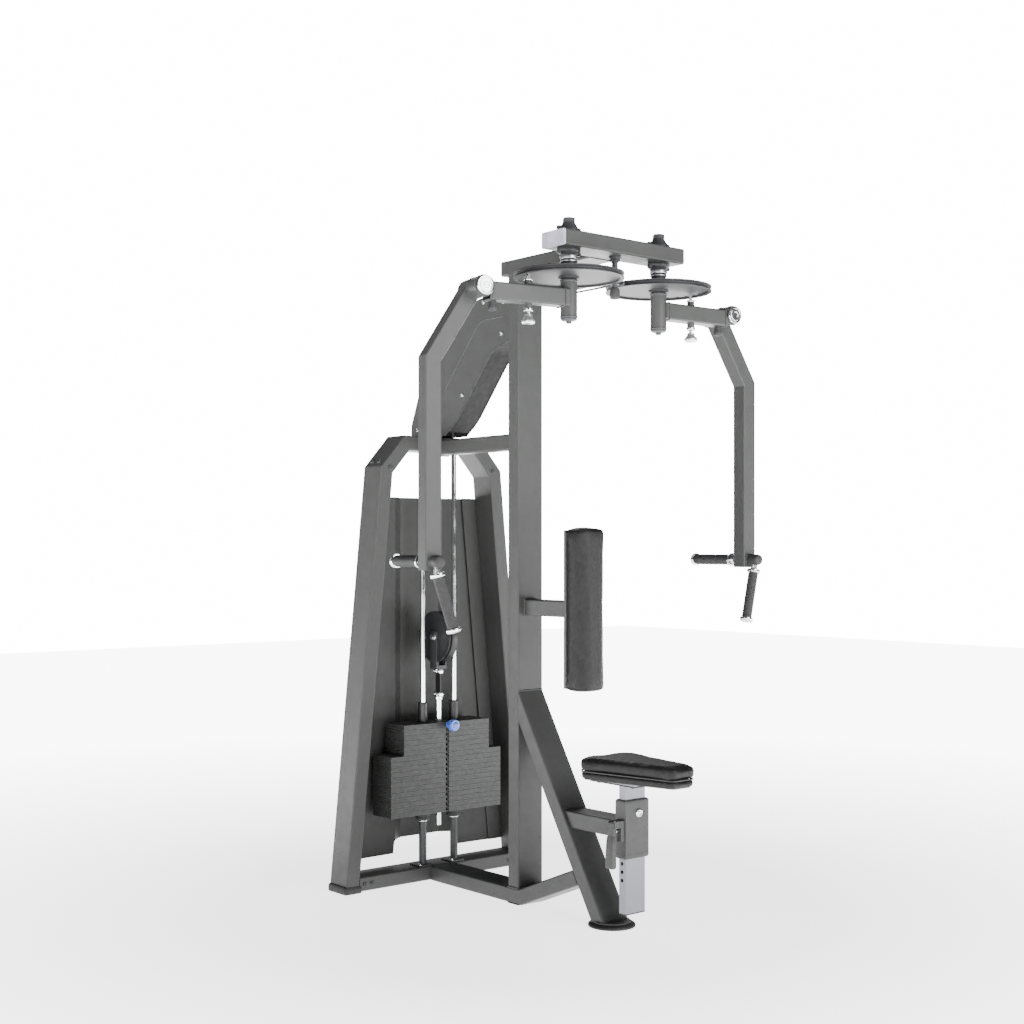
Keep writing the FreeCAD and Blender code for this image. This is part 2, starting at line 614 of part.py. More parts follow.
def weight_stack():
    base_top = size["base_bottom"] + size["base_high"]
    rods = [rod("rod_radius", size["tower_top"] - size["tower_leg_wide"] - base_top,
                (side * size["rod_x"], size["rod_y"], base_top)) for side in (-1, 1)]
    piece(group(*rods), "guide_rods")

    bore = size["rod_radius"] + RUN_GAP
    spacers = []
    spacer_high = size["stack_bottom"] - base_top
    for side in (-1, 1):
        centre_x = side * size["rod_x"]
        flange = box("rod_base", "rod_base", 5,
                     (centre_x - size["rod_base"] / 2, size["rod_y"] - 22, base_top))
        post = rod("spacer_radius", spacer_high, (centre_x, size["rod_y"], base_top))
        collar = rod("collar_radius", "collar_high",
                     (centre_x, size["rod_y"], size["stack_bottom"] - size["collar_high"]))
        bore_tool = rod(bore, spacer_high + 2, (centre_x, size["rod_y"], base_top - 1))
        spacers.append(carve(join(flange, post, collar), bore_tool))
    piece(group(*spacers), "rod_spacers")

    pitch = size["plate_pitch"]
    thick = pitch - size["plate_gap"]
    front = size["rod_y"] + 2 - size["plate_deep"] / 2
    notch_wide, notch_deep = 14, 6
    level = size["stack_bottom"]
    for name, count, long in (("wide_plates", "wide_count", "wide_plate_long"),
                              ("narrow_plates", "narrow_count", "narrow_plate_long")):
        number = int(size[count])
        stack = [box(long, "plate_deep", thick, (-size[long] / 2, front, level + index * pitch))
                 for index in range(number)]
        tools = [rod(bore, number * pitch + 2, (side * size["rod_x"], size["rod_y"], level - 1))
                 for side in (-1, 1)]
        tools.append(rod(size["selector_radius"] + 0.5, number * pitch + 2, (0, size["rod_y"], level - 1)))
        tools.append(box(notch_wide, notch_deep, number * pitch + 2, (-notch_wide / 2, front - 1, level - 1)))
        for index in range(number):
            middle = level + index * pitch + thick / 2
            tools.append(rod(size["pin_radius"] + 0.4, 60, (0, front - 1, middle), "Y"))
        piece(carve(group(*stack), *tools), name)
        level += number * pitch
    lift(level, thick, front)


def lift(level, thick, front):
    bore = size["rod_radius"] + RUN_GAP
    selector = size["selector_radius"]
    rod_y = size["rod_y"]
    pin_level = level + thick / 2
    plate = box("narrow_plate_long", "plate_deep", thick, (-size["narrow_plate_long"] / 2, front, level))
    tools = [rod(bore, thick + 2, (side * size["rod_x"], rod_y, level - 1)) for side in (-1, 1)]
    tools.append(rod(selector, thick + 2, (0, rod_y, level - 1)))
    pin_long = 80
    pin_hole = rod(size["pin_radius"] + RUN_GAP, pin_long - 18, (0, front - 1, pin_level), "Y")
    piece(carve(plate, *tools, pin_hole), "top_plate")

    below = size["stack_bottom"] - size["selector_below"]
    stem_top = size["stem_top"]
    bar = rod("selector_radius", stem_top - below, (0, rod_y, below))
    pin_bore = rod(size["pin_radius"] + RUN_GAP, pin_long - 18, (0, front - 1, pin_level), "Y")
    holes = [rod(size["pin_radius"] - 1, 3 * selector,
                 (0, rod_y - 1.5 * selector, level - thick / 2 - index * size["plate_pitch"]), "Y")
             for index in range(int(size["wide_count"] + size["narrow_count"]))]
    piece(carve(bar, pin_bore, *holes), "selector_rod")

    knob_long, knob_radius, neck_radius = 22, 17, 9
    pin_start = front - knob_long
    pin = join(rod("pin_radius", pin_long, (0, pin_start, pin_level), "Y"),
               rod(neck_radius, 10, (0, pin_start, pin_level), "Y"),
               rod(knob_radius, knob_long, (0, pin_start - knob_long, pin_level), "Y"))
    piece(pin, "selector_pin")

    top = level + thick
    sleeves = [ring("rod_sleeve_radius", bore, "rod_sleeve_high", (side * size["rod_x"], rod_y, top))
               for side in (-1, 1)]
    piece(group(*sleeves), "rod_sleeves")

    yoke_low, yoke_deep, cheek = size["yoke_bottom"], size["yoke_deep"], size["yoke_cheek"]
    strap = box("strap_thick", "strap_wide", yoke_low - stem_top,
                (-size["strap_thick"] / 2, rod_y - size["strap_wide"] / 2, stem_top))
    piece(strap, "lift_strap")
    axle = 8
    inside = size["wheel_wide"] / 2 + 1.5
    wheel_z = size["wheel_z"]
    outside = inside + cheek
    yoke_front = rod_y - yoke_deep / 2
    parts = [box(2 * outside, yoke_deep, 3 * cheek, (-outside, yoke_front, yoke_low))]
    for side in (-1, 1):
        left = inside if side > 0 else -outside
        parts.append(box(cheek, yoke_deep, wheel_z + yoke_deep / 2 - yoke_low, (left, yoke_front, yoke_low)))
    parts.append(rod(axle, 2 * outside + axle, (-outside - axle / 2, rod_y, wheel_z), "X"))
    piece(join(*parts), "wheel_yoke")
    piece(wheel(size["wheel_radius"], size["wheel_cable_radius"], axle + RUN_GAP, size["wheel_wide"],
                (0, rod_y, wheel_z)), "floating_wheel")


# ---------------------------------------------------------------- pivots, levers and arms

def pivot_bearings():
    """Rhombic flange bearings above and below the crossbeam at each pivot."""
    bearings = []
    bore = size["shaft_radius"] + RUN_GAP
    flange_high, boss_high = size["flange_high"], size["boss_high"]
    for side in (-1, 1):
        x, y = side * size["pivot_x"], size["crossbeam_y"]
        for bottom, direction in ((size["beam_bottom"], -1), (size["beam_bottom"] + size["beam_high"], 1)):
            low = bottom if direction > 0 else bottom - flange_high
            outline = [(x - 48, y), (x, y - 34), (x + 48, y), (x, y + 34)]
            flange = slab("XY", outline, [12, 22, 12, 22], flange_high, low + flange_high / 2)
            boss_low = bottom + flange_high if direction > 0 else bottom - flange_high - boss_high
            if direction > 0:
                boss = cone("boss_radius", "shaft_cap_radius", boss_high, (x, y, boss_low))
            else:
                boss = rod("boss_radius", boss_high, (x, y, boss_low))
            through = flange_high + boss_high + 1
            shaft_hole = rod(bore, 2 * through, (x, y, bottom - through))
            bearings.append(carve(join(flange, boss), shaft_hole))
    piece(group(*bearings), "pivot_bearings")


def centre_stop():
    """Stop rod with a rubber tip that hangs under the middle of the crossbeam."""
    y = size["crossbeam_y"]
    top = size["beam_bottom"]
    stop_bottom = top - size["stop_long"]
    tip_high = 30
    piece(join(rod(18, 5, (0, y, top - 5)), rod(9, top - stop_bottom - 5, (0, y, stop_bottom + 5)),
               rod(13, tip_high, (0, y, stop_bottom))), "centre_stop")


def side_assembly(side, name):
    """Cam, shaft, lever, pin, hinge, arm, handle and grips of one side, laid out along its lever."""
    frame = Placement(Vector(side * size["pivot_x"], size["crossbeam_y"], 0),
                      Rotation(Z_AXIS, size[name + "_turn"]))
    cam(side, name, frame)
    lever(side, name, frame)
    arm(side, name, frame)


def place(obj, frame, label):
    obj.Placement = frame.multiply(obj.Placement)
    return piece(obj, label)


def cam(side, name, frame):
    bottom, high, radius = size["cam_bottom"], size["cam_high"], size["cam_radius"]
    middle = bottom + high / 2
    groove = size["cable_radius"] + 2
    shaft, boss, hub = size["shaft_radius"], size["cam_boss_radius"], size["cam_hub_radius"]
    web = size["cam_web"] / 2
    rim, inner_rim, floor = radius - 2, radius - size["cam_rim"], radius - groove - 3
    top, hub_top = bottom + high, size["cam_hub_top"]
    boss_top = top + web
    profile = [(shaft, bottom), (boss, bottom), (boss, middle - web), (inner_rim, middle - web),
               (inner_rim, bottom), (rim, bottom), (rim, middle - groove), (floor, middle - 2),
               (floor, middle + 2), (rim, middle + groove), (rim, top), (inner_rim, top),
               (inner_rim, middle + web), (boss, middle + web), (boss, boss_top), (hub, boss_top),
               (hub, hub_top), (shaft, hub_top)]
    disc = turned(profile)
    holes = []
    for step in range(-2, 4):
        angle = math.radians(-size["left_turn"] + step * size["hole_pitch"] + size[name + "_turn"])
        reach = size["pin_reach"]
        holes.append(rod(size["pin_radius"] + RUN_GAP, high + 2,
                         (side * reach * math.cos(angle), reach * math.sin(angle), bottom - 1)))
    place(carve(disc, *holes), frame, name + "_cam")

    disc_high, nut_high = 7, 12
    low = size["hub_bottom"] - disc_high
    top = size["top_z"]
    parts = [rod("shaft_radius", top - 2 - low, (0, 0, low)),
             rod(20, disc_high - RUN_GAP, (0, 0, low)),
             rod("shaft_cap_radius", nut_high, (0, 0, top - nut_high))]
    place(join(*parts), frame, name + "_pivot_shaft")


def lever(side, name, frame):
    bottom, section = size["lever_bottom"], size["lever_section"]
    hub, hinge = size["hub_radius"], size["hinge_reach"]
    middle = bottom + section / 2
    hub_high = size["hub_top"] - size["hub_bottom"]
    hub_tube = rod("hub_radius", hub_high, (0, 0, size["hub_bottom"]))
    weld = 8
    bar_end = hinge - size["barrel_radius"] + weld
    start = 10
    left = start if side > 0 else -bar_end
    bar = tube(bar_end - start, "lever_section", "lever_section", (left, -section / 2, bottom), "X")
    barrel = rod("barrel_radius", section, (side * hinge, -section / 2, size["hinge_z"]), "Y")
    reach = size["pin_reach"]
    boss_radius, boss_low, boss_top = 11, bottom - 22, bottom + section + 20
    boss = rod(boss_radius, boss_top - boss_low, (side * reach, 0, boss_low))
    solid = join(hub_tube, bar, barrel, boss)
    tools = [rod(size["shaft_radius"] + RUN_GAP, hub_high + 2, (0, 0, size["hub_bottom"] - 1)),
             rod("hinge_pin_radius", section + 2, (side * hinge, -section / 2 - 1, size["hinge_z"]), "Y"),
             rod(size["pin_radius"] + RUN_GAP, boss_top - boss_low + 2, (side * reach, 0, boss_low - 1))]
    place(carve(solid, *tools), frame, name + "_lever")

    pin_top = size["cam_bottom"] + size["cam_high"] / 2 - 3.5
    knob_low = middle - 82
    knob_body = turned([(0, knob_low), (17, knob_low), (19, knob_low + 4), (11, knob_low + 12),
                        (9, knob_low + 22), (0, knob_low + 22)], (side * reach, 0, 0))
    place(join(knob_body, rod("pin_radius", pin_top - knob_low - 4, (side * reach, 0, knob_low + 4))),
          frame, name + "_pull_pin")

    cap, side_gap = 8, 0.4
    back = size["arm_offset"] + section / 2
    front = -section / 2 - cap
    pin = join(rod("hinge_pin_radius", back + cap - front, (side * hinge, front, size["hinge_z"]), "Y"),
               rod("cap_radius", cap - side_gap, (side * hinge, front, size["hinge_z"]), "Y"),
               rod("cap_radius", cap - side_gap, (side * hinge, back + side_gap, size["hinge_z"]), "Y"))
    place(pin, frame, name + "_hinge_pin")


def arm(side, name, frame):
    half = size["arm_section"] / 2
    hinge, reach = size["hinge_reach"], size["bend_reach"]
    centre = size["arm_offset"]
    hinge_z, bend_z = size["hinge_z"], size["bend_z"]
    bottom = size["handle_z"] - 24
    outer = [(reach + half, bottom), (reach + half, bend_z + 10)]
    slant = math.atan2(hinge_z - bend_z, hinge - reach)
    direction = (math.cos(slant), math.sin(slant))
    slant_run = math.hypot(hinge_z - bend_z, hinge - reach) - 6
    outer.append((outer[1][0] + direction[0] * slant_run, outer[1][1] + direction[1] * slant_run))
    inner = inner_line(outer, size["arm_section"])
    lower = mitred_tube("XZ", [(side * x, z) for x, z in (outer[0], outer[1], inner[1], inner[0])],
                        "arm_section", centre)
    upper = mitred_tube("XZ", [(side * x, z) for x, z in (outer[1], outer[2], inner[2], inner[1])],
                        "arm_section", centre)
    barrel = rod("barrel_radius", size["arm_section"] - 1, (side * hinge, centre - half + 0.5, hinge_z), "Y")
    plug_wide = size["arm_section"] - 2 * size["tube_wall"]
    plug = box(plug_wide, plug_wide, 4, (side * reach - plug_wide / 2, centre - plug_wide / 2, bottom + 3))
    solid = join(lower, upper, barrel, plug)
    grip_z = size["handle_z"]
    bore = rod(size["hinge_pin_radius"] + RUN_GAP, 80, (side * hinge, centre - 40, hinge_z), "Y")
    stem_bore = rod("stem_radius", 80, (side * reach, centre - 40, grip_z), "Y")
    place(carve(solid, bore, stem_bore), frame, name + "_arm")

    # handle: a cross stem through the arm's foot, and a hanging stem below the stub in front of it
    stem = size["stem_radius"]
    grip = size["grip_radius"]
    front, back = centre - half, centre + half
    end = back + 200
    lean = Rotation(Vector(0, side, 0), 180 + size["hang_inward"])
    tilt = lean.multiply(Rotation(X_AXIS, size["hang_forward"]))
    neck, stub = size["neck_radius"], size["stub_long"]
    hang_y = front - stub / 2 + 3
    hang_start = Vector(side * reach, hang_y, grip_z - 26)
    direction = tilt.multVec(Z_AXIS)

    def hanging(radius, start, length):
        point = hang_start + direction * start
        return rod(radius, length, (point.x, point.y, point.z), turn=tilt)

    collar, collar_start, collar_long = 20, back + 24, 8
    drop_start, drop_end = size["drop_start"], size["drop_end"]
    drop_stem = stem - 3
    stem_start = front - stub + 4
    parts = [rod(stem, end - stem_start, (side * reach, stem_start, grip_z), "Y"),
             rod(collar, collar_long, (side * reach, collar_start, grip_z), "Y"),
             rod(collar - 1, 10, (side * reach, end - 10, grip_z), "Y"),
             rod(neck, 34, (side * reach, hang_y, grip_z - 36)),
             hanging(collar, drop_start - 10, 10), hanging(collar, drop_end, collar_long),
             hanging(drop_stem, drop_start - 6, drop_end - drop_start + 8)]
    place(join(*parts), frame, name + "_handle")
    cap = ring("stub_radius", stem, stub - 6, (side * reach, stem_start, grip_z), "Y")
    cap_end = rod("stub_radius", 4, (side * reach, stem_start - 4, grip_z), "Y")
    neck_bore = rod(neck + RUN_GAP, 40, (side * reach, hang_y, grip_z - 40))
    grip_start = collar_start + collar_long
    rear_grip = ring(grip, stem, end - 10 - grip_start, (side * reach, grip_start, grip_z), "Y")
    drop_grip = carve(hanging(grip - 1, drop_start, drop_end - drop_start),
                      hanging(drop_stem, drop_start - 6, drop_end - drop_start + 8))
    place(group(carve(join(cap, cap_end), neck_bore), rear_grip, drop_grip), frame, name + "_grips")


# ---------------------------------------------------------------- seat and back pad

def seat(leg):
    half_wide, half_deep = size["post_wide"] / 2, size["post_deep"] / 2
    y, gap, wall = size["post_y"], size["slide_gap"], size["sleeve_wall"]
    sleeve_back = y + half_deep + gap + wall
    bracket_bottom, bracket_high = size["bracket_bottom"], size["bracket_high"]
    tangent = leg["tangent"]

    def front_at(level):
        return leg["front_top"][0] - (leg["front_top"][1] - level) * tangent

    bracket_top = bracket_bottom + bracket_high
    quad = [(front_at(bracket_bottom), bracket_bottom), (sleeve_back, bracket_bottom),
            (sleeve_back, bracket_top), (front_at(bracket_top), bracket_top)]
    piece(mitred_tube("YZ", quad, "bracket_wide"), "seat_bracket")

    high = size["sleeve_top"] - size["sleeve_bottom"]
    outer_x, outer_y = half_wide + gap + wall, half_deep + gap + wall
    shell = box(2 * outer_x, 2 * outer_y, high, (-outer_x, y - outer_y, size["sleeve_bottom"]))
    cavity = box(2 * (half_wide + gap), 2 * (half_deep + gap), high + 2,
                 (-half_wide - gap, y - half_deep - gap, size["sleeve_bottom"] - 1))
    latch_z = size["latch_z"]
    boss = box(14, 34, 60, (-outer_x - 14, y - 17, latch_z - 30))
    bore = rod(size["latch_radius"] + RUN_GAP, 60, (-outer_x - 30, y, latch_z), "X")
    boss_left = -outer_x - 14
    ears = [box(24, 3, 20, (boss_left - 22, ear_y, latch_z + 10)) for ear_y in (y - 16, y + 13)]
    hinge_x, hinge_z = boss_left - 17, latch_z + 20
    hinge_pin = rod(2.5, 32, (hinge_x, y - 16, hinge_z), "Y")
    piece(join(carve(join(shell, boss), cavity, bore), *ears, hinge_pin), "seat_sleeve")

    # latch pin through the sleeve's left wall, pulled out by the release lever
    pin_end = -half_wide - 0.3
    piece(join(rod("latch_radius", pin_end - boss_left + 12, (boss_left - 12, y, latch_z), "X"),
               rod(9, 4, (boss_left - 12, y, latch_z), "X")), "latch_pin")
    paddle = slab("XZ", [(boss_left - 16, latch_z - 100), (boss_left - 30, latch_z - 96),
                         (boss_left - 26, latch_z - 20), (boss_left - 22, latch_z + 26),
                         (boss_left - 13.5, latch_z + 26), (boss_left - 13.5, latch_z - 20)],
                  [3, 3, 20, 2, 2, 20], 24, y)
    piece(carve(paddle, rod(2.6, 40, (hinge_x, y - 20, hinge_z), "Y")), "release_lever")

    post_top = size["seat_bottom"] - size["seat_plate_thick"]
    post = tube("post_wide", "post_deep", post_top - size["post_bottom"],
                (-half_wide, y - half_deep, size["post_bottom"]), "Z")
    pitch = size["post_hole_pitch"]
    holes = [rod(size["latch_radius"] + 0.4, 8, (-half_wide - 1, y, latch_z - index * pitch), "X")
             for index in range(-1, 7)]
    plate = box(120, 180, "seat_plate_thick", (-60, y - 70, post_top))
    piece(join(carve(post, *holes), plate), "seat_post")

    outline = [(-48, -691), (48, -691), (112, -372), (86, -342), (-86, -342), (-112, -372)]
    middle = (size["seat_bottom"] + size["seat_top"]) / 2
    piece(slab("XY", outline, [22, 22, 22, 16, 16, 22], size["seat_top"] - size["seat_bottom"], middle),
          "seat_pad")


def back_pad():
    half_wide = size["pad_wide"] / 2
    column_front = -size["column_deep"] / 2
    high = size["pad_top"] - size["pad_bottom"]
    pad_back = size["pad_y"] + size["pad_deep"] / 2
    section = 50
    board_back = pad_back + size["pad_board"]
    piece(tube(section, column_front - board_back - 5, section,
               (-section / 2, board_back + 5, size["pad_tube_bottom"]), "Y"), "back_pad_tube")
    board = box(size["pad_wide"] - 8, "pad_board", high - 16,
                (-half_wide + 4, pad_back, size["pad_bottom"] + 8))
    mount = box(80, 5, 110, (-40, board_back, size["pad_tube_bottom"] - 30))
    piece(join(board, mount), "back_pad_board")
    depth = size["pad_deep"]
    outline = [(-half_wide, pad_back - depth - 0.5), (half_wide, pad_back - depth - 0.5),
               (half_wide, pad_back - 0.5), (-half_wide, pad_back - 0.5)]
    piece(slab("XY", outline, [30, 30, 12, 12], high, (size["pad_bottom"] + size["pad_top"]) / 2), "back_pad")


# ---------------------------------------------------------------- build, check and write

leg_line = main_frame()
floor_feet()
tower()
rear_shield()
cable_guard()
cables()
weight_stack()
pivot_bearings()
centre_stop()
side_assembly(-1, "left")
side_assembly(1, "right")
seat(leg_line)
back_pad()
doc.recompute()

for obj in doc.Objects:
    if "Invalid" in obj.State or "Error" in obj.State:
        raise RuntimeError("%s (%s) failed: %s" % (obj.Name, obj.Label, obj.State))
os.makedirs("parts", exist_ok=True)
for obj in pieces:
    if obj.Shape.isNull() or not obj.Shape.isValid():
        raise RuntimeError("%s has no valid shape" % obj.Label)
for obj in pieces:
    obj.Shape.exportStep("parts/%s.step" % obj.Label)
    limits = obj.Shape.BoundBox
    print("%-20s solids %2d  volume %9.1f cm3  x %.0f..%.0f  y %.0f..%.0f  z %.0f..%.0f"
          % (obj.Label, len(obj.Shape.Solids), obj.Shape.Volume / 1000, limits.XMin, limits.XMax,
             limits.YMin, limits.YMax, limits.ZMin, limits.ZMax))
print("%d sub-parts" % len(pieces))
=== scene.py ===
import json
import math

import bmesh
import bpy
from mathutils import Matrix, Vector


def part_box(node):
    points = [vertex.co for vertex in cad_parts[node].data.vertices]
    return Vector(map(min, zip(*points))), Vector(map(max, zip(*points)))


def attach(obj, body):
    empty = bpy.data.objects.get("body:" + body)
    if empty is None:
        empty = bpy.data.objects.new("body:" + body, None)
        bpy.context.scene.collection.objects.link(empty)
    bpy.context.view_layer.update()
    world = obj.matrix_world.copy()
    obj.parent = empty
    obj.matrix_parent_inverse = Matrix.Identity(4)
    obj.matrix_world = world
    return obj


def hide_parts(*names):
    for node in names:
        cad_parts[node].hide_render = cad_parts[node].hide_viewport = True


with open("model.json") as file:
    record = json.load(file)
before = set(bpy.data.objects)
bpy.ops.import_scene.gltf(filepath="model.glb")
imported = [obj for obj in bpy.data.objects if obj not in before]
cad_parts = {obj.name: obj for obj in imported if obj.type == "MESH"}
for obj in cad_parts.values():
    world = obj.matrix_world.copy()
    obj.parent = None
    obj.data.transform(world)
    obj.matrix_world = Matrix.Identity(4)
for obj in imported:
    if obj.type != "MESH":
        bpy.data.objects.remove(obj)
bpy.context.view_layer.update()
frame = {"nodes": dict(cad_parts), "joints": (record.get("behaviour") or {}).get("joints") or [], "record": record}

NODES = frame["nodes"]
JOINTS = {joint["name"]: joint for joint in frame["joints"]}
SCENE = bpy.context.scene
UP = Vector((0, 0, 1))


# ---------------------------------------------------------------- material helpers

class Paint:
    """A node material with short calls for the nodes that every finish here uses."""

    def __init__(self, name, colour, rough, metal=0.0):
        self.made = bpy.data.materials.new(name)
        self.made.use_nodes = True
        self.tree = self.made.node_tree
        self.shader = self.tree.nodes["Principled BSDF"]
        self.shader.inputs["Base Color"].default_value = (*colour, 1)
        self.shader.inputs["Roughness"].default_value = rough
        self.shader.inputs["Metallic"].default_value = metal
        self.made.diffuse_color = (*colour, 1)
        self.place = self.node("ShaderNodeTexCoord").outputs["Object"]

    def node(self, kind, inputs=None, **settings):
        made = self.tree.nodes.new(kind)
        for key, value in settings.items():
            setattr(made, key, value)
        for key, value in (inputs or {}).items():
            if isinstance(value, bpy.types.NodeSocket):
                self.tree.links.new(value, made.inputs[key])
            else:
                made.inputs[key].default_value = value
        return made

    def link(self, socket, shader_input):
        self.tree.links.new(socket, self.shader.inputs[shader_input])

    def stretched(self, scale):
        return self.node("ShaderNodeMapping", {"Vector": self.place, "Scale": scale}).outputs["Vector"]

    def noise(self, scale, detail=3.0, rough=0.55, where=None):
        return self.node("ShaderNodeTexNoise", {"Vector": where or self.place, "Scale": scale,
                                                "Detail": detail, "Roughness": rough}).outputs["Fac"]

    def cells(self, scale, feature="F1", where=None):
        return self.node("ShaderNodeTexVoronoi", {"Vector": where or self.place, "Scale": scale},
                         feature=feature).outputs["Distance"]

    def ramp(self, value, low, high, low_at=0.3, high_at=0.7):
        """Maps a 0..1 value onto a range of numbers."""
        return self.node("ShaderNodeMapRange", {"Value": value, "From Min": low_at, "From Max": high_at,
                                                "To Min": low, "To Max": high}).outputs["Result"]

    def mix(self, value, first, second):
        made = self.node("ShaderNodeMix", data_type="RGBA")
        self.tree.links.new(value, made.inputs["Factor"])
        for number, colour in ((6, first), (7, second)):
            if isinstance(colour, bpy.types.NodeSocket):
                self.tree.links.new(colour, made.inputs[number])
            else:
                made.inputs[number].default_value = (*colour, 1)
        return made.outputs[2]

    def multiply(self, first, second):
        made = self.node("ShaderNodeMath", {0: first, 1: second}, operation="MULTIPLY")
        return made.outputs[0]

    def bump(self, height, distance, strength=1.0, below=None):
        inputs = {"Height": height, "Distance": distance, "Strength": strength}
        if below is not None:
            inputs["Normal"] = below
        return self.node("ShaderNodeBump", inputs).outputs["Normal"]

    def soft_edges(self, radius):
        """Normals rounded over sharp edges, as paint and rolled tube have them."""
        return self.node("ShaderNodeBevel", {"Radius": radius}, samples=4).outputs["Normal"]

    def edge_mask(self, radius):
        """1 along sharp edges and 0 on flat faces."""
        soft = self.soft_edges(radius)
        flat = self.node("ShaderNodeNewGeometry").outputs["Normal"]
        compared = self.node("ShaderNodeVectorMath", {0: soft, 1: flat}, operation="DOT_PRODUCT")
        alike = compared.outputs["Value"]
        return self.ramp(alike, 1.0, 0.0, 0.80, 0.985)


def shades(colour, spread):
    return tuple(c * (1 - spread) for c in colour), tuple(c * (1 + spread) for c in colour)


def powder_coat(name, colour, rough=0.42, edge=None):
    """Satin powder coat: fine orange peel, faint cloudy tone, and thin edges painted lighter, partly as wear and
    partly as a painted highlight.
    """
    paint = Paint(name, colour, rough)
    dark, light = shades(colour, 0.10)
    cloudy = paint.mix(paint.ramp(paint.noise(2.6, 4), 0, 1), dark, light)
    speck = paint.mix(paint.ramp(paint.noise(950, 2), 0, 1, 0.42, 0.62), cloudy, light)
    # Sharp edges are painted lighter, partly as wear and partly as a painted highlight; noise breaks the band up.
    wear_and_highlight = edge or tuple(min(1, c * 1.9 + 0.02) for c in colour)
    edge_highlight_mask = paint.multiply(paint.edge_mask(0.0016), paint.ramp(paint.noise(14, 5), 0.25, 0.9))
    paint.link(paint.mix(edge_highlight_mask, speck, wear_and_highlight), "Base Color")
    paint.link(paint.ramp(paint.noise(30, 5), rough - 0.05, rough + 0.07), "Roughness")
    peel = paint.bump(paint.noise(620, 2), 0.00012, 0.55, paint.soft_edges(0.0012))
    paint.link(peel, "Normal")
    paint.shader.inputs["Specular IOR Level"].default_value = 0.3
    paint.shader.inputs["Coat Weight"].default_value = 0.03
    paint.shader.inputs["Coat Roughness"].default_value = 0.25
    return paint.made


def polished(name, colour, rough=0.09):
    """Chrome with faint buffing marks and a soft haze of handling."""
    paint = Paint(name, colour, rough, metal=1.0)
    marks = paint.noise(160, 4, where=paint.stretched((1, 1, 14)))
    paint.link(paint.ramp(paint.noise(22, 5), rough * 0.7, rough * 2.2), "Roughness")
    dark, light = shades(colour, 0.06)
    paint.link(paint.mix(paint.ramp(paint.noise(9, 3), 0, 1), dark, light), "Base Color")
    paint.link(paint.bump(marks, 0.00003, 0.25, paint.soft_edges(0.0008)), "Normal")
    return paint.made


def brushed(name, colour, along, rough=0.34, metal=0.75):
    """Drawn metal: long fine scratches in one direction."""
    paint = Paint(name, colour, rough, metal)
    lines = paint.noise(420, 3, where=paint.stretched(along))
    dark, light = shades(colour, 0.09)
    paint.link(paint.mix(paint.ramp(lines, 0, 1), dark, light), "Base Color")
    paint.link(paint.ramp(lines, rough - 0.06, rough + 0.10), "Roughness")
    paint.link(paint.bump(lines, 0.00004, 0.4, paint.soft_edges(0.0014)), "Normal")
    return paint.made


def cast_plate(name, colour, edge):
    """Blackened weight plate: grainy faces, and a painted highlight along its sharp edges."""
    paint = Paint(name, colour, 0.5, metal=0.35)
    dark, light = shades(colour, 0.22)
    faces = paint.mix(paint.ramp(paint.noise(55, 6), 0, 1), dark, light)
    # Sharp edges are painted in the lighter edge colour, as a painted highlight.
    edge_highlight_mask = paint.multiply(paint.edge_mask(0.0022), paint.ramp(paint.noise(70, 4), 0.45, 1.0))
    paint.link(paint.mix(edge_highlight_mask, faces, edge), "Base Color")
    paint.link(paint.ramp(paint.noise(120, 4), 0.38, 0.58), "Roughness")
    grain = paint.bump(paint.noise(800, 3), 0.00015, 0.5, paint.soft_edges(0.0015))
    paint.link(grain, "Normal")
    return paint.made


def moulded(name, colour, rough=0.5, grain=420, depth=0.0001, coat=0.0):
    """Moulded plastic or rubber: even grain and faint flow marks."""
    paint = Paint(name, colour, rough)
    dark, light = shades(colour, 0.18)
    paint.link(paint.mix(paint.ramp(paint.noise(18, 4), 0, 1), dark, light), "Base Color")
    paint.link(paint.ramp(paint.noise(60, 4), rough - 0.06, rough + 0.08), "Roughness")
    paint.link(paint.bump(paint.cells(grain), depth, 0.5, paint.soft_edges(0.0008)), "Normal")
    paint.shader.inputs["Coat Weight"].default_value = coat
    return paint.made


def leather(name, colour):
    """Upholstery vinyl: small raised pebbles in two sizes, creases between them painted darker as painted shade,
    soft sheen.
    """
    paint = Paint(name, colour, 0.5)
    pebbles = paint.cells(720, "SMOOTH_F1")
    creases = paint.cells(260, "DISTANCE_TO_EDGE")
    crease_shade_mask = paint.ramp(creases, 1.0, 0.0, 0.0, 0.12)
    dark, light = shades(colour, 0.28)
    clouded = paint.mix(paint.ramp(paint.noise(16, 5), 0, 1), dark, light)
    # The creases are painted darker, as painted shade.
    paint.link(paint.mix(paint.multiply(crease_shade_mask, 0.55), clouded, tuple(c * 0.45 for c in colour)),
               "Base Color")
    paint.link(paint.ramp(paint.noise(90, 3), 0.44, 0.6), "Roughness")
    wide = paint.bump(paint.ramp(creases, 0, 1, 0, 0.2), 0.00028, 0.5)
    paint.link(paint.bump(pebbles, 0.00022, 0.7, wide), "Normal")
    paint.shader.inputs["Specular IOR Level"].default_value = 0.32
    return paint.made


def wire_rope(name, colour):
    """Coated wire rope: the lay of the strands shows through the jacket, as bumps and as colour painted darker in
    the grooves as painted shade.
    """
    paint = Paint(name, colour, 0.38)
    lay = paint.node("ShaderNodeTexWave", {"Vector": paint.stretched((1, 1, 1)), "Scale": 170.0,
                                           "Distortion": 0.6}, bands_direction="DIAGONAL").outputs["Fac"]
    dark, light = shades(colour, 0.3)
    # The colour follows the lay, darker in the grooves between strands, as painted shade.
    paint.link(paint.mix(lay, dark, light), "Base Color")
    paint.link(paint.ramp(paint.noise(80, 3), 0.32, 0.46), "Roughness")
    paint.link(paint.bump(lay, 0.0003, 0.5), "Normal")
    return paint.made


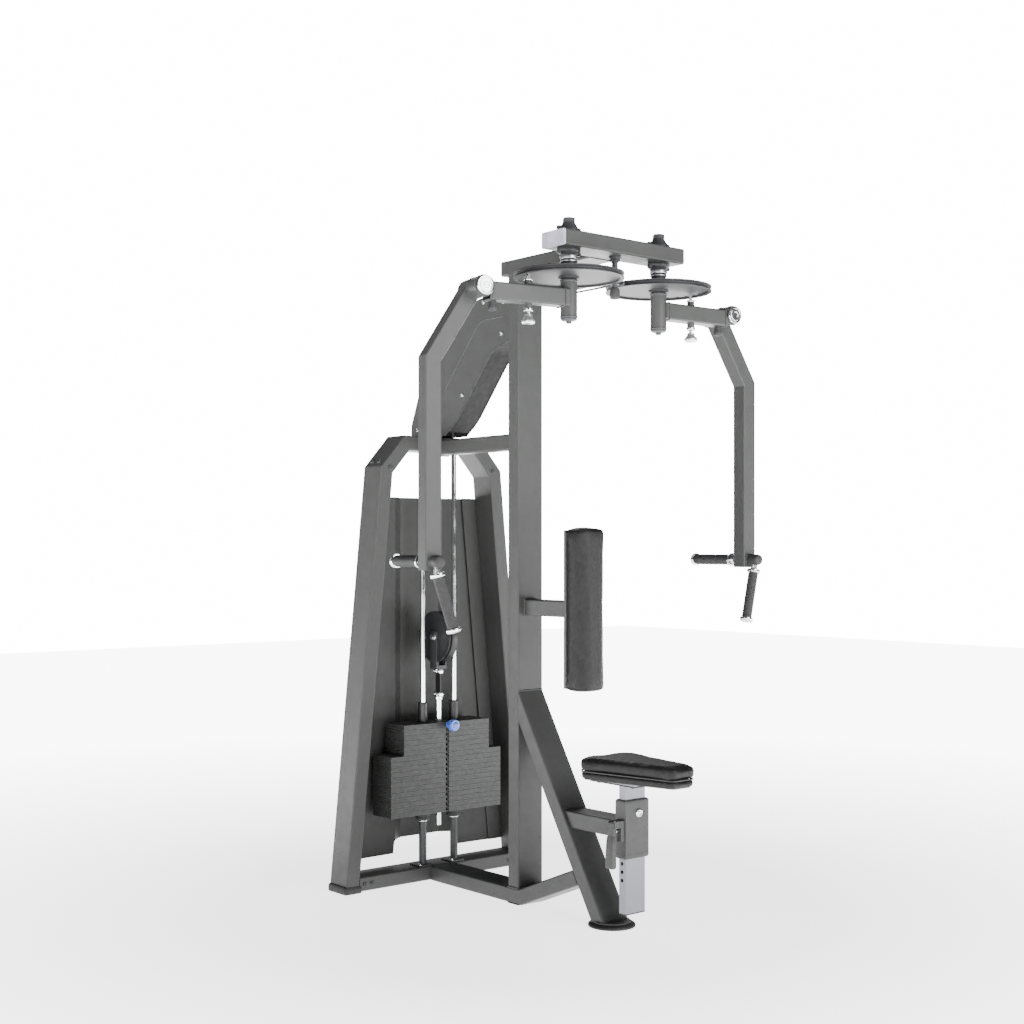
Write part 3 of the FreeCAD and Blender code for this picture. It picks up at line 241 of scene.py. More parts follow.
GREY = (0.040, 0.0415, 0.040)
MATERIALS = {
    "frame_grey": powder_coat("frame_grey", GREY),
    "shield_sheet": powder_coat("shield_sheet", (0.034, 0.0355, 0.034), 0.5),
    # dark_steel's last colour is its edge colour: partly wear, partly painted highlight.
    "dark_steel": powder_coat("dark_steel", (0.035, 0.036, 0.038), 0.36, (0.16, 0.16, 0.17)),
    "cam_metal": brushed("cam_metal", (0.013, 0.0135, 0.0145), (9, 9, 1), 0.52, 0.1),
    # plate_steel's last colour is its edge colour, a painted highlight.
    "plate_steel": cast_plate("plate_steel", (0.040, 0.042, 0.040), (0.16, 0.165, 0.16)),
    "chrome": polished("chrome", (0.80, 0.81, 0.83)),
    "silver_tube": brushed("silver_tube", (0.20, 0.203, 0.228), (8, 8, 0.25), 0.36, 0.55),
    "black_rubber": moulded("black_rubber", (0.014, 0.014, 0.015), 0.62, 700, 0.00014),
    "black_plastic": moulded("black_plastic", (0.017, 0.017, 0.018), 0.42, 520, 0.00006),
    "pulley_nylon": moulded("pulley_nylon", (0.022, 0.022, 0.024), 0.36, 300, 0.00004, 0.1),
    "black_cable": wire_rope("black_cable", (0.012, 0.012, 0.013)),
    "black_leather": leather("black_leather", (0.0030, 0.0030, 0.0032)),
    "blue_knob": moulded("blue_knob", (0.05, 0.13, 0.55), 0.25, 260, 0.00003, 0.5),
    "bright_steel": brushed("bright_steel", (0.52, 0.53, 0.55), (1, 1, 12), 0.28, 0.9),
    "guard_black": moulded("guard_black", (0.006, 0.006, 0.0065), 0.78, 520, 0.00004),
    "end_cap": moulded("end_cap", (0.44, 0.43, 0.52), 0.3, 300, 0.00004, 0.3),
}
SLOT_OF = {part["node"]: part["material_slot"] for part in frame["record"]["subparts"]}
for name, node in NODES.items():
    node.data.materials.clear()
    node.data.materials.append(MATERIALS[SLOT_OF[name]])
NODES["guard_cover"].data.materials[0] = MATERIALS["guard_black"]


# ---------------------------------------------------------------- mesh helpers, in millimetres

MM = 0.001


def box_mm(node):
    """Low and high corners of a CAD node's box in millimetres."""
    low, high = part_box(node)
    return low / MM, high / MM


def joint_mm(name):
    return Vector(JOINTS[name]["pos_m"]) / MM


def basis(direction):
    """A rotation that turns +Z to a direction."""
    return Vector(direction).normalized().to_track_quat("Z", "Y").to_matrix().to_4x4()


def rounded(points, radii, steps=5):
    """A closed outline with its corners turned into short arcs."""
    if isinstance(radii, (int, float)):
        radii = [radii] * len(points)
    corners = [Vector(point) for point in points]
    outline = []
    for index, corner in enumerate(corners):
        to_last = (corners[index - 1] - corner).normalized()
        to_next = (corners[(index + 1) % len(corners)] - corner).normalized()
        if radii[index] == 0:
            outline.append(corner)
            continue
        half = to_last.angle(to_next) / 2
        start = corner + to_last * radii[index] / math.tan(half)
        end = corner + to_next * radii[index] / math.tan(half)
        centre = corner + (to_last + to_next).normalized() * radii[index] / math.sin(half)
        for step in range(steps + 1):
            chord = start.lerp(end, step / steps) - centre
            outline.append(centre + chord.normalized() * radii[index])
    return outline


class Shape:
    """Collects closed forms, given in millimetres, into one mesh."""

    def __init__(self, where=None):
        self.bm = bmesh.new()
        self.where = where or Matrix()

    def add(self, rings, matrix, close_start=True, close_end=True):
        """Skins rings of points; a ring of one point is a tip."""
        made = []
        for ring in rings:
            made.append([self.bm.verts.new(self.where @ (matrix @ Vector(point) * MM)) for point in ring])
        for first, second in zip(made, made[1:]):
            count = max(len(first), len(second))
            for step in range(count):
                after = (step + 1) % count
                corners = []
                for vert in (first[step % len(first)], first[after % len(first)],
                             second[after % len(second)], second[step % len(second)]):
                    if vert not in corners:
                        corners.append(vert)
                self.bm.faces.new(corners)
        if close_start and len(made[0]) > 2:
            self.bm.faces.new(list(reversed(made[0])))
        if close_end and len(made[-1]) > 2:
            self.bm.faces.new(made[-1])
        return self

    def turned(self, profile, place=(0, 0, 0), axis=(0, 0, 1), steps=40, twist=0.0):
        """A form turned from (radius, height) pairs about an axis through place."""
        rings = []
        for radius, height in profile:
            if radius == 0:
                rings.append([(0, 0, height)])
                continue
            ring = []
            for step in range(steps):
                angle = 2 * math.pi * step / steps + twist
                ring.append((radius * math.cos(angle), radius * math.sin(angle), height))
            rings.append(ring)
        return self.add(rings, Matrix.Translation(place) @ basis(axis))

    def washer(self, outer, inner, high, place, axis=(0, 0, 1), soft=1.0, steps=40):
        """A ring with softened outer edges."""
        profile = [(inner, 0), (outer - soft, 0), (outer - soft * 0.3, soft * 0.3), (outer, soft),
                   (outer, high - soft), (outer - soft * 0.3, high - soft * 0.3), (outer - soft, high),
                   (inner, high), (inner, 0)]
        rings = []
        for radius, height in profile:
            rings.append([(radius * math.cos(2 * math.pi * step / steps),
                           radius * math.sin(2 * math.pi * step / steps), height) for step in range(steps)])
        return self.add(rings, Matrix.Translation(place) @ basis(axis), False, False)

    def prism(self, outline, low, high, matrix=None, soft=1.0):
        """An outline raised from low to high, with softened rims."""
        centre = sum((Vector(point) for point in outline), Vector((0, 0))) / len(outline)
        inset = []
        for point in outline:
            arm = Vector(point) - centre
            inset.append(centre + arm * max(0.0, 1 - soft / max(arm.length, 0.001)))
        third = [Vector(point).lerp(inner, 0.3) for point, inner in zip(outline, inset)]
        layers = [(inset, low), (third, low + soft * 0.3), (outline, low + soft), (outline, high - soft),
                  (third, high - soft * 0.3), (inset, high)]
        rings = [[(point[0], point[1], level) for point in ring] for ring, level in layers]
        return self.add(rings, matrix or Matrix())

    def block(self, low, high, soft=2.0):
        """A box between two corners with rounded edges."""
        low, high = Vector(low), Vector(high)
        lone = bmesh.new()
        bmesh.ops.create_cube(lone, size=1.0)
        bmesh.ops.transform(lone, matrix=Matrix.Diagonal((*((high - low) * MM), 1)), verts=lone.verts)
        bmesh.ops.bevel(lone, geom=lone.edges[:], offset=soft * MM, segments=3, profile=0.5,
                        affect="EDGES", clamp_overlap=True)
        shift = self.where @ Matrix.Translation((high + low) / 2 * MM)
        bmesh.ops.transform(lone, matrix=shift, verts=lone.verts)
        carried = bpy.data.meshes.new("block")
        lone.to_mesh(carried)
        lone.free()
        self.bm.from_mesh(carried)
        bpy.data.meshes.remove(carried)
        return self

    def tube(self, points, radius, steps=12, ends=True, ripple=0.0):
        """A round tube along points; a ripple gives it the scales of a weld bead."""
        route = [Vector(point) for point in points]
        rings = []
        side = None
        for index, point in enumerate(route):
            ahead = route[min(index + 1, len(route) - 1)] - route[max(index - 1, 0)]
            ahead.normalize()
            if side is None:
                side = ahead.orthogonal().normalized()
            side = (side - ahead * side.dot(ahead)).normalized()
            across = ahead.cross(side)
            wide = radius * (1 + ripple * (1 if index % 2 else -1))
            rings.append([point + (side * math.cos(2 * math.pi * step / steps)
                                   + across * math.sin(2 * math.pi * step / steps)) * wide
                          for step in range(steps)])
        return self.add(rings, Matrix(), ends, ends)

    def bolt(self, place, axis, across=9.0, high=6.0, washer=8.0):
        """A hexagon head on a washer."""
        self.turned([(washer, 0), (washer, 1.1), (washer - 0.5, 1.6), (0, 1.6)], place, axis, 28)
        radius = across / math.sqrt(3)
        return self.turned([(radius, 1.6), (radius, high - 0.9), (radius * 0.84, high), (0, high)],
                           place, axis, 6)

    def socket_bolt(self, place, axis, radius=6.5, high=5.0):
        """A round head with a hexagon socket."""
        hexagon = radius * 0.46
        self.turned([(radius, 0), (radius, high * 0.55), (radius * 0.86, high * 0.92),
                     (radius * 0.7, high), (hexagon + 0.4, high), (hexagon, high - 0.3),
                     (hexagon * 0.96, high - 2.4), (0, high - 2.4)], place, axis, 24)
        return self

    def mesh(self, name, angle=34.0):
        bmesh.ops.recalc_face_normals(self.bm, faces=self.bm.faces)
        made = bpy.data.meshes.new(name)
        self.bm.to_mesh(made)
        self.bm.free()
        made.shade_smooth()
        made.set_sharp_from_angle(angle=math.radians(angle))
        return made


def keep(shape, name, slot, body="root", replaces=(), finish=None):
    """Makes a shape a piece that rides on a body and takes a slot's finish."""
    mesh = shape.mesh(name) if isinstance(shape, Shape) else shape
    mesh.materials.clear()
    mesh.materials.append(MATERIALS[finish or slot])
    thing = bpy.data.objects.new(name, mesh)
    SCENE.collection.objects.link(thing)
    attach(thing, body)
    if replaces:
        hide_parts(*replaces)
    return thing


# ---------------------------------------------------------------- upholstery

CLOTH_FRAMES = 20


def remeshed(mesh, voxel):
    """A copy of a closed form in even voxel faces, ready to be blown up as cloth."""
    blank = bpy.data.objects.new("blank", mesh)
    SCENE.collection.objects.link(blank)
    remesh = blank.modifiers.new("voxels", "REMESH")
    remesh.mode = "VOXEL"
    remesh.voxel_size = voxel
    remesh.use_smooth_shade = True
    smooth = blank.modifiers.new("relax", "SMOOTH")
    smooth.factor = 0.5
    smooth.iterations = 2
    bpy.context.view_layer.update()
    made = bpy.data.meshes.new_from_object(blank.evaluated_get(bpy.context.evaluated_depsgraph_get()))
    bpy.data.objects.remove(blank)
    return made


def swollen(mesh, cap, limits):
    """The form blown up as cloth, no further than cap, and held inside its limits."""
    rest = [vert.co.copy() for vert in mesh.vertices]
    cloth_piece = bpy.data.objects.new("cloth", mesh)
    SCENE.collection.objects.link(cloth_piece)
    cloth = cloth_piece.modifiers.new("cloth", "CLOTH")
    cloth.settings.use_pressure = True
    cloth.settings.uniform_pressure_force = 4.0
    cloth.settings.effector_weights.gravity = 0.0
    cloth.settings.tension_stiffness = 12.0
    cloth.settings.compression_stiffness = 12.0
    cloth.settings.bending_stiffness = 0.6
    cloth.point_cache.frame_start = 1
    cloth.point_cache.frame_end = CLOTH_FRAMES
    for number in range(1, CLOTH_FRAMES + 1):
        SCENE.frame_set(number)
    done = cloth_piece.evaluated_get(bpy.context.evaluated_depsgraph_get())
    moved = [vert.co.copy() for vert in done.data.vertices]
    bpy.data.objects.remove(cloth_piece)
    SCENE.frame_set(1)
    low, high = limits
    for vert, start, end in zip(mesh.vertices, rest, moved):
        step = end - start
        if step.length > cap:
            step = step.normalized() * cap
        spot = start + step
        vert.co = [min(max(spot[axis], low[axis]), high[axis]) for axis in range(3)]
    return mesh


def padded_piece(name, shape, voxel, cap, limits, body, replaces=()):
    """A cushion: remeshed, blown up as cloth, subdivided and covered in leather."""
    mesh = swollen(remeshed(shape.mesh(name), voxel), cap, limits)
    mesh.shade_smooth()
    cushion = keep(mesh, name, "black_leather", body, replaces)
    relax = cushion.modifiers.new("relax", "SMOOTH")
    relax.factor = 0.4
    relax.iterations = 2
    finer = cushion.modifiers.new("finer", "SUBSURF")
    finer.levels = 1
    finer.render_levels = 1
    return cushion


def inset_outline(outline, inset):
    """The outline moved evenly inwards."""
    count = len(outline)
    moved = []
    for index in range(count):
        ahead = (Vector(outline[(index + 1) % count]) - Vector(outline[index - 1])).normalized()
        moved.append(Vector(outline[index]) + Vector((-ahead.y, ahead.x)) * inset)
    return moved


def closed(points, rows=3):
    """A loop of points that overlaps its own start."""
    return points + points[:rows]


def piping(outline, level, step=4):
    """Points along an outline at one level, close enough together for a smooth welt."""
    points = []
    count = len(outline)
    for index in range(count):
        start, end = Vector(outline[index]), Vector(outline[(index + 1) % count])
        parts = max(1, int((end - start).length / step))
        points += [(*start.lerp(end, part / parts), level) for part in range(parts)]
    return closed(points, 2)


def seat_cushion():
    """Two layers with a deep groove between them, on a board; it rides on the seat post."""
    low, high = box_mm("seat_pad")
    front, back = low.y, high.y
    wide = high.x
    points = [(-48, front), (48, front), (wide + 1.5, back - 30), (wide - 24, back),
              (24 - wide, back), (-wide - 1.5, back - 30)]
    corner_radii = [24, 24, 20, 18, 18, 20]
    outline = rounded(points, corner_radii, 7)
    groove = low.z + 23
    upper = Shape()
    upper.prism(inset_outline(outline, 1.5), groove + 2.5, high.z - 5, soft=9)
    limits = (Vector((-wide - 3, front - 3, groove + 0.3)) * MM,
              Vector((wide + 3, back + 3, high.z + 3)) * MM)
    padded_piece("seat_cushion_top", upper, 0.0045, 0.0065, limits, "seat", ["seat_pad"])
    lower = Shape()
    lower.prism(inset_outline(outline, 3), low.z + 2, groove - 3, soft=6)
    limits = (Vector((-wide - 3, front - 3, low.z + 0.4)) * MM,
              Vector((wide + 3, back + 3, groove - 0.3)) * MM)
    padded_piece("seat_cushion_base", lower, 0.0045, 0.0055, limits, "seat", ())
    welt = Shape()
    welt.tube(piping(inset_outline(outline, 9), groove), 2.4, 10, ends=False)
    welt.prism(inset_outline(outline, 16), low.z - 1.5, low.z + 3, soft=1)
    keep(welt, "seat_welt", "black_plastic", "seat")


def back_cushion():
    """A tall pad with a rounded front, wrapped over its board."""
    low, high = box_mm("back_pad")
    wide = high.x
    points = [(-wide, low.y), (wide, low.y), (wide, high.y + 7), (-wide, high.y + 7)]
    outline = rounded(points, [28, 28, 10, 10], 9)
    inner = inset_outline(outline, -1)
    pad = Shape()
    pad.prism(inner, low.z + 3.5, high.z - 3.5, soft=11)
    limits = (Vector((-wide - 3, low.y - 4, low.z - 1)) * MM,
              Vector((wide + 3, high.y + 7.5, high.z + 1)) * MM)
    padded_piece("back_cushion", pad, 0.005, 0.006, limits, "root", ["back_pad"])
    seam = Shape()
    for level in (low.z + 9, high.z - 9):
        seam.tube(piping(inset_outline(outline, 3.2), level), 1.3, 10, ends=False)
    keep(seam, "back_seams", "black_leather", "root")


seat_cushion()
back_cushion()


# ---------------------------------------------------------------- pivots, levers, arms and handles

SIDES = {"left": -1, "right": 1}


def side_frame(name):
    """The axes of one side: X along the lever away from the pivot, Y back along the hinge, Z up."""
    side = SIDES[name]
    pivot = Vector(JOINTS[name + "_cam_turn"]["pos_m"])
    back = Vector(JOINTS[name + "_arm_swing"]["axis"]) * -side
    out = back.cross(UP) * side
    columns = Matrix((out, back, UP)).transposed().to_4x4()
    return Matrix.Translation((pivot.x, pivot.y, 0)) @ columns


def bearing_caps():
    """Bearing housings, conical above the crossbeam, with their bolts, shaft caps and bright sleeves."""
    low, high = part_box("crossbeam")
    bottom, top = low.z / MM, high.z / MM
    lower_profile = [(13.5, 8), (32, 8), (30.6, 11.5), (27.6, 15.5), (25.6, 18), (25.2, 20), (13.5, 20),
                     (13.5, 8)]
    upper_profile = [(13.2, 8), (31, 8), (29.8, 10.5), (26.6, 14), (23.2, 19), (20, 24), (17.6, 29),
                     (16.8, 30.4),
                     (13.2, 30.4), (13.2, 8)]
    shaft_cap = [(18.6, 0), (18.6, 10.4), (16.4, 12.6), (0, 12.6)]
    cap_level = 2029.2
    housings = Shape()
    bolts = Shape()
    for name in SIDES:
        pivot = joint_mm(name + "_cam_turn")
        for level, way in ((bottom, -1), (top, 1)):
            place = (pivot.x, pivot.y, level)
            profile = upper_profile if way > 0 else lower_profile
            rings = []
            for radius, height in profile:
                rings.append([(radius * math.cos(math.tau * step / 44),
                               radius * math.sin(math.tau * step / 44), height) for step in range(44)])
            housings.add(rings, Matrix.Translation(place) @ basis((0, 0, way)), False, False)
            ears = rounded([(-50, 0), (0, -36), (50, 0), (0, 36)], [13, 26, 13, 26], 8)
            turn = Matrix.Translation(place) @ basis((0, 0, way))
            rim = [(point.x, point.y) for point in ears]
            housings.prism(rim, 0.2, 8.6, turn, 1.6)
            for offset in (-37, 37):
                bolts.bolt((pivot.x + offset, pivot.y, level + way * 8.5), (0, 0, way), 13, 8, 9)
        bolts.turned(shaft_cap, (pivot.x, pivot.y, cap_level), (0, 0, 1), 6)
    keep(housings, "bearing_housings", "dark_steel")
    keep(bolts, "bearing_bolts", "dark_steel")
    sleeves = Shape()
    for name in SIDES:
        pivot = joint_mm(name + "_cam_turn")
        sleeves.washer(25.9, 24.9, 9.4, (pivot.x, pivot.y, bottom - 29.8), soft=1.0)
    keep(sleeves, "bearing_sleeves", "chrome", finish="bright_steel")


def crossbeam_caps():
    """Bevelled end caps of the crossbeam and the boom."""
    low, high = box_mm("crossbeam")
    caps = Shape()
    for end, way in ((low.x, -1), (high.x, 1)):
        face = rounded([(-50.4, -23.4), (50.4, -23.4), (50.4, 23.4), (-50.4, 23.4)], 5.5, 6)
        turn = Matrix.Translation((end, (low.y + high.y) / 2, (low.z + high.z) / 2)) @ basis((way, 0, 0))
        spin = Matrix.Rotation(math.radians(90), 4, "Z")
        upright = turn @ spin if abs((turn.to_3x3() @ Vector((1, 0, 0))).z) > 0.5 else turn
        caps.prism([(point.x, point.y) for point in face], 0.0, 4.6, upright, 2.2)
    keep(caps, "crossbeam_end_caps", "black_plastic", finish="end_cap")
    boom_low, boom_high = box_mm("overhead_boom")
    rear = Shape()
    face = rounded([(-50.4, -23.4), (50.4, -23.4), (50.4, 23.4), (-50.4, 23.4)], 5.5, 6)
    middle = (boom_low.z + boom_high.z) / 2
    upright = Matrix.Translation((0, boom_high.y, middle)) @ Matrix.Rotation(math.radians(-90), 4, "X")
    rear.prism([(point.x, point.y) for point in face], 0.0, 4.2, upright, 2.0)
    keep(rear, "boom_end_cap", "black_plastic")


def hub_trim(name):
    """Bright collars of a lever's hub and disc, with the bottom cap of its shaft."""
    frame_matrix = side_frame(name)
    collars = Shape(frame_matrix)
    collars.washer(26.5, 22.8, 5, (0, 0, 1885), soft=1.2)
    collars.washer(25.5, 22.6, 4, (0, 0, 1915.5), soft=1.0)
    keep(collars, name + "_disc_collars", "chrome", name + "_cam", finish="bright_steel")
    low_cap = Shape(frame_matrix)
    low_cap.turned([(22, 1.5), (23.4, 0.5), (23.6, -2), (22.6, -6), (18, -8.4), (9, -9.4), (0, -9.6)],
                   (0, 0, 1757), (0, 0, 1), 44)
    low_cap.bolt((0, 0, 1748.2), (0, 0, -1), 15, 7, 11)
    keep(low_cap, name + "_shaft_cap", "dark_steel", name + "_cam")
    ring = Shape(frame_matrix)
    ring.washer(25.8, 23.6, 7, (0, 0, 1858.5), soft=1.4)
    ring.washer(25.4, 23.6, 5, (0, 0, 1757.5), soft=1.2)
    keep(ring, name + "_hub_rings", "dark_steel", name + "_lever")


def hinge_trim(name):
    """Chrome ring, cap and hexagon socket at the front of the hinge, and a nut at its back."""
    frame_matrix = side_frame(name)
    hinge = Vector(JOINTS[name + "_arm_swing"]["pos_m"])
    local = frame_matrix.inverted() @ hinge
    out, level = local.x / MM, local.z / MM
    front = Shape(frame_matrix)
    cap = [(24.2, 0), (26.4, 0.6), (26.8, 3.6), (25.2, 5.6), (20.5, 6.4), (19.2, 5.2), (18.4, 5.2),
           (17.6, 6.6), (11, 7.6), (9.6, 7.4), (8.8, 5.0), (7.4, 4.6), (0, 4.6)]
    front.turned(cap, (out, -33.2, level), (0, -1, 0), 52)
    keep(front, name + "_hinge_cap", "chrome", name + "_lever")
    rear = Shape(frame_matrix)
    rear.turned([(24.4, 0), (25.4, 0.8), (25.2, 3.4), (22, 5), (14, 5.6), (0, 5.8)],
                (out, 84.2, level), (0, 1, 0), 44)
    rear.turned([(9.5, 0), (9.5, 5), (8, 6.6), (0, 6.6)], (out, 89.5, level), (0, 1, 0), 6)
    keep(rear, name + "_hinge_nut", "dark_steel", name + "_lever")
    spacer = Shape(frame_matrix)
    spacer.washer(30.4, 29.2, 4, (out, -25.2, level), (0, 1, 0), 0.8, 52)
    spacer.washer(30.4, 29.2, 4, (out, 21.2, level), (0, 1, 0), 0.8, 52)
    keep(spacer, name + "_barrel_rings", "dark_steel", name + "_lever")
    bumper = Shape(frame_matrix)
    bumper.turned([(9, 6), (11, 5), (11.4, 0), (11, -8), (12.6, -12), (13, -18), (11.6, -23), (6, -25.4),
                   (0, -25.8)], (246, 0, 1784), (0, 0, 1), 36)
    keep(bumper, name + "_rubber_bumper", "black_rubber", name + "_lever")


def lever_trim(name):
    """Weld beads round the lever's ends and the collar and knob of its pull pin."""
    frame_matrix = side_frame(name)
    middle = 1813
    welds = Shape(frame_matrix)
    square = rounded([(-25.6, -25.6), (25.6, -25.6), (25.6, 25.6), (-25.6, 25.6)], 5, 3)
    for reach in (24.5, 257.0):
        loop = piping(square, 0, 3)
        welds.tube([(reach, point[0], middle + point[1]) for point in loop], 2.1, 8, ends=False, ripple=0.16)
    for level in (1789.0, 1837.5):
        ring = [(132 + 12.2 * math.cos(math.tau * step / 30), 12.2 * math.sin(math.tau * step / 30), level)
                for step in range(31)]
        welds.tube(ring, 1.6, 8, ends=False, ripple=0.16)
    keep(welds, name + "_lever_welds", "frame_grey", name + "_lever")
    collar = Shape(frame_matrix)
    collar.washer(13.4, 10.8, 9, (132, 0, 1766.4), soft=1.6)
    collar.washer(13.2, 10.8, 5, (132, 0, 1852.5), soft=1.2)
    keep(collar, name + "_pin_collars", "chrome", name + "_lever")
    knob = Shape(frame_matrix)
    profile = [(0, 1729.5), (8, 1729.8), (14.5, 1731.2), (18.2, 1734.2), (19.4, 1738), (18.6, 1742),
               (15.6, 1745.6), (12.4, 1749), (11.2, 1753.4), (10.6, 1757), (8.6, 1758.6), (6, 1759)]
    rings = []
    for radius, height in profile:
        ring_points = []
        for step in range(48):
            angle = math.tau * step / 48
            lobe = radius * (1 + 0.045 * math.cos(8 * angle)) if 1732 < height < 1748 else radius
            ring_points.append((lobe * math.cos(angle), lobe * math.sin(angle), height))
        rings.append([(0, 0, height)] if radius == 0 else ring_points)
    knob.add(rings, Matrix.Translation((132, 0, 0)))
    keep(knob, name + "_pin_knob", "chrome", name + "_pull_pin", finish="bright_steel")


def ribbed(shape, radius, start, length, place, axis, pitch=5.2, depth=0.9):
    """A rubber grip with shallow ribs along its length and rounded ends."""
    rows = int(length / pitch * 4)
    profile = [(radius - 3.2, start), (radius - 0.8, start + 0.6), (radius + 0.6, start + 2.4)]
    for row in range(rows + 1):
        reach = start + 5 + (length - 10) * row / rows
        profile.append((radius + depth * (0.5 - 0.5 * math.cos(math.tau * row / 4)), reach))
    profile += [(radius + 0.6, start + length - 2.4), (radius - 0.8, start + length - 0.6),
                (radius - 3.2, start + length)]
    return shape.turned(profile, place, axis, 36)


def handle_trim(name):
    """Ribbed grips, bright rings and rounded end caps at an arm's foot; they ride on the arm."""
    frame_matrix = side_frame(name)
    out, level = 413, 1067
    body = name + "_arm"
    grips = Shape(frame_matrix)
    ribbed(grips, 16, 108.5, 157, (out, 0, level), (0, 1, 0))
    inward, forward = math.radians(16), math.radians(4)
    way = Vector((-math.sin(inward) * math.cos(forward), -math.sin(forward), -math.cos(inward)))
    way.normalize()
    start = Vector((out, 8, 1041))
    ribbed(grips, 15, 17, 145, start, way)
    cap = [(12.4, 0), (16.4, 0.4), (17.3, 2.2), (17.6, 8), (17.4, 32), (16.9, 37), (15.2, 41), (11.4, 43.4),
           (6, 44.6), (0, 44.9)]
    grips.turned(cap, (out, 26.4, level), (0, -1, 0), 44)
    keep(grips, name + "_hand_grips", "black_rubber", body, [name + "_grips"])
    rings = Shape(frame_matrix)
    for reach, outer, inner, high in ((99.6, 21.2, 14, 8.6), (265.6, 20.2, 12, 4), (272.2, 20.2, 12, 4.2)):
        rings.washer(outer, inner, high, (out, reach, level), (0, 1, 0), 1.8)
    rings.turned([(18.6, 0), (19.2, 1.6), (15.4, 4.6), (8, 6.0), (0, 6.4)], (out, 275.6, level), (0, 1, 0),
                 40)
    for reach, high in ((5.6, 10.8), (162.6, 8.8)):
        rings.washer(20.8, 13, high, start + way * reach, way, 2.2)
    rings.turned([(19, 0), (19.2, 1.4), (15.4, 4.2), (8, 5.4), (0, 5.8)], start + way * 171, way, 40)
    keep(rings, name + "_grip_rings", "chrome", body)
    plate = Shape(frame_matrix)
    plate.washer(19, 12.2, 5, (out, 75.8, level), (0, 1, 0), 1.2)
    plate.washer(19, 12.2, 3, (out, 23.2, level), (0, 1, 0), 1.0)
    keep(plate, name + "_stem_flanges", "dark_steel", body)


bearing_caps()
crossbeam_caps()
for side_name in SIDES:
    hub_trim(side_name)
    hinge_trim(side_name)
    lever_trim(side_name)
    handle_trim(side_name)


# ---------------------------------------------------------------- frame, tower and cable guard trim

def square_loop(half_a, half_b, corner=5):
    """A closed run of points round a tube's section."""
    outline = rounded([(-half_a, -half_b), (half_a, -half_b), (half_a, half_b), (-half_a, half_b)], corner, 3)
    return piping(outline, 0, 3)


def weld_loop(shape, matrix, half_a, half_b, radius=2.4):
    """A rippled weld bead round a tube where it meets another."""
    points = [matrix @ Vector((point[0], point[1], 0)) for point in square_loop(half_a, half_b)]
    shape.tube(points, radius, 8, ends=False, ripple=0.15)


def frame_welds():
    """Weld beads at the joints of the frame tubes."""
    beads = Shape()
    along_y = basis((0, 1, 0))
    for place, half_a, half_b in (((0, 26.0, 1437), 26, 26), ((0, 424.0, 1437), 26, 26),
                                  ((0, -26.0, 920), 26, 26)):
        weld_loop(beads, Matrix.Translation(place) @ along_y, half_a, half_b)
    weld_loop(beads, Matrix.Translation((0, 0, 1952)), 51, 26)
    weld_loop(beads, Matrix.Translation((0, 0, 51.5)), 51, 26)
    run = [(x, -25.8, 663) for x in range(-48, 49, 3)]
    beads.tube(run, 2.4, 8, ripple=0.15)
    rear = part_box("crossbeam")[1].y / MM
    for level in (1953.4, 1998.6):
        beads.tube([(x, rear + 0.6, level) for x in range(-49, 50, 3)], 2.2, 8, ripple=0.15)
    for x in (-50, 50):
        beads.tube([(x, rear + 0.6, level) for level in range(1956, 1998, 3)], 2.2, 8, ripple=0.15)
    for x in (-385 + 12, 385 - 12):
        way = 1 if x < 0 else -1
        beads.tube([(x + way * 37.5, y, 50.6) for y in range(428, 522, 3)], 2.2, 8, ripple=0.15)
    keep(beads, "frame_welds", "frame_grey")


def tower_bolts():
    """Bolts through the tower's shoulders, base and legs."""
    bolts = Shape()
    front, back = 425, 524
    for side in (-1, 1):
        start, end = Vector((side * 250, 1369)), Vector((side * 158, 1473))
        along = (end - start).normalized()
        normal = (side * abs(along.y), 0, abs(along.x))
        spot = start.lerp(end, 0.16)
        for depth in (front + 30, back - 30):
            bolts.socket_bolt((spot.x, depth, spot.y), normal, 7.5, 4.6)
        bolts.socket_bolt((side * 214, front - 0.1, 1366), (0, -1, 0), 7.5, 4.6)
        for offset in (-14, 14):
            bolts.socket_bolt((side * 300 + offset, front - 0.1, 27), (0, -1, 0), 6.5, 4.5)
    for height in (1424, 1450):
        bolts.socket_bolt((0, back + 0.1, height), (0, 1, 0), 7.5, 5)
    keep(bolts, "tower_bolts", "dark_steel")


def floor_trim():
    """Bevelled shoes, the domed front foot with its plate, and the column's pad."""
    feet = Shape()
    for side in (-1, 1):
        outline = rounded([(-32.5, -53.5), (32.5, -53.5), (32.5, 53.5), (-32.5, 53.5)], 9, 5)
        rings = []
        for scale, level in ((0.93, 0.2), (0.985, 1.6), (1.0, 4.5), (1.0, 17), (0.975, 21.5), (0.93, 24.6),
                             (0.87, 25.2), (0.8, 25.2)):
            rings.append([(side * 357 + point.x * scale, 474.5 + point.y * scale,
                           level) for point in outline])
        inner = [(side * 357 + point.x * 0.8, 474.5 + point.y * 0.8, 0.4) for point in outline]
        rings.append(inner)
        feet.add(rings, Matrix(), True, True)
    disc = [(0, 0.2), (66, 0.2), (69.4, 1.4), (70, 4), (69.4, 7), (66.4, 10), (60, 12.2), (44, 13.6),
            (0, 13.8)]
    feet.turned(disc, (0, -391, 0), (0, 0, 1), 64)
    feet.block((-51, -26.5, 0.2), (51, 26.5, 3.4), 1.2)
    keep(feet, "floor_pads", "black_rubber", "root", ["floor_feet"])
    plate = Shape()
    plate.turned([(56, 13.4), (56, 16.6), (54.6, 18), (0, 18)], (0, -391, 0), (0, 0, 1), 56)
    keep(plate, "front_foot_plate", "frame_grey")


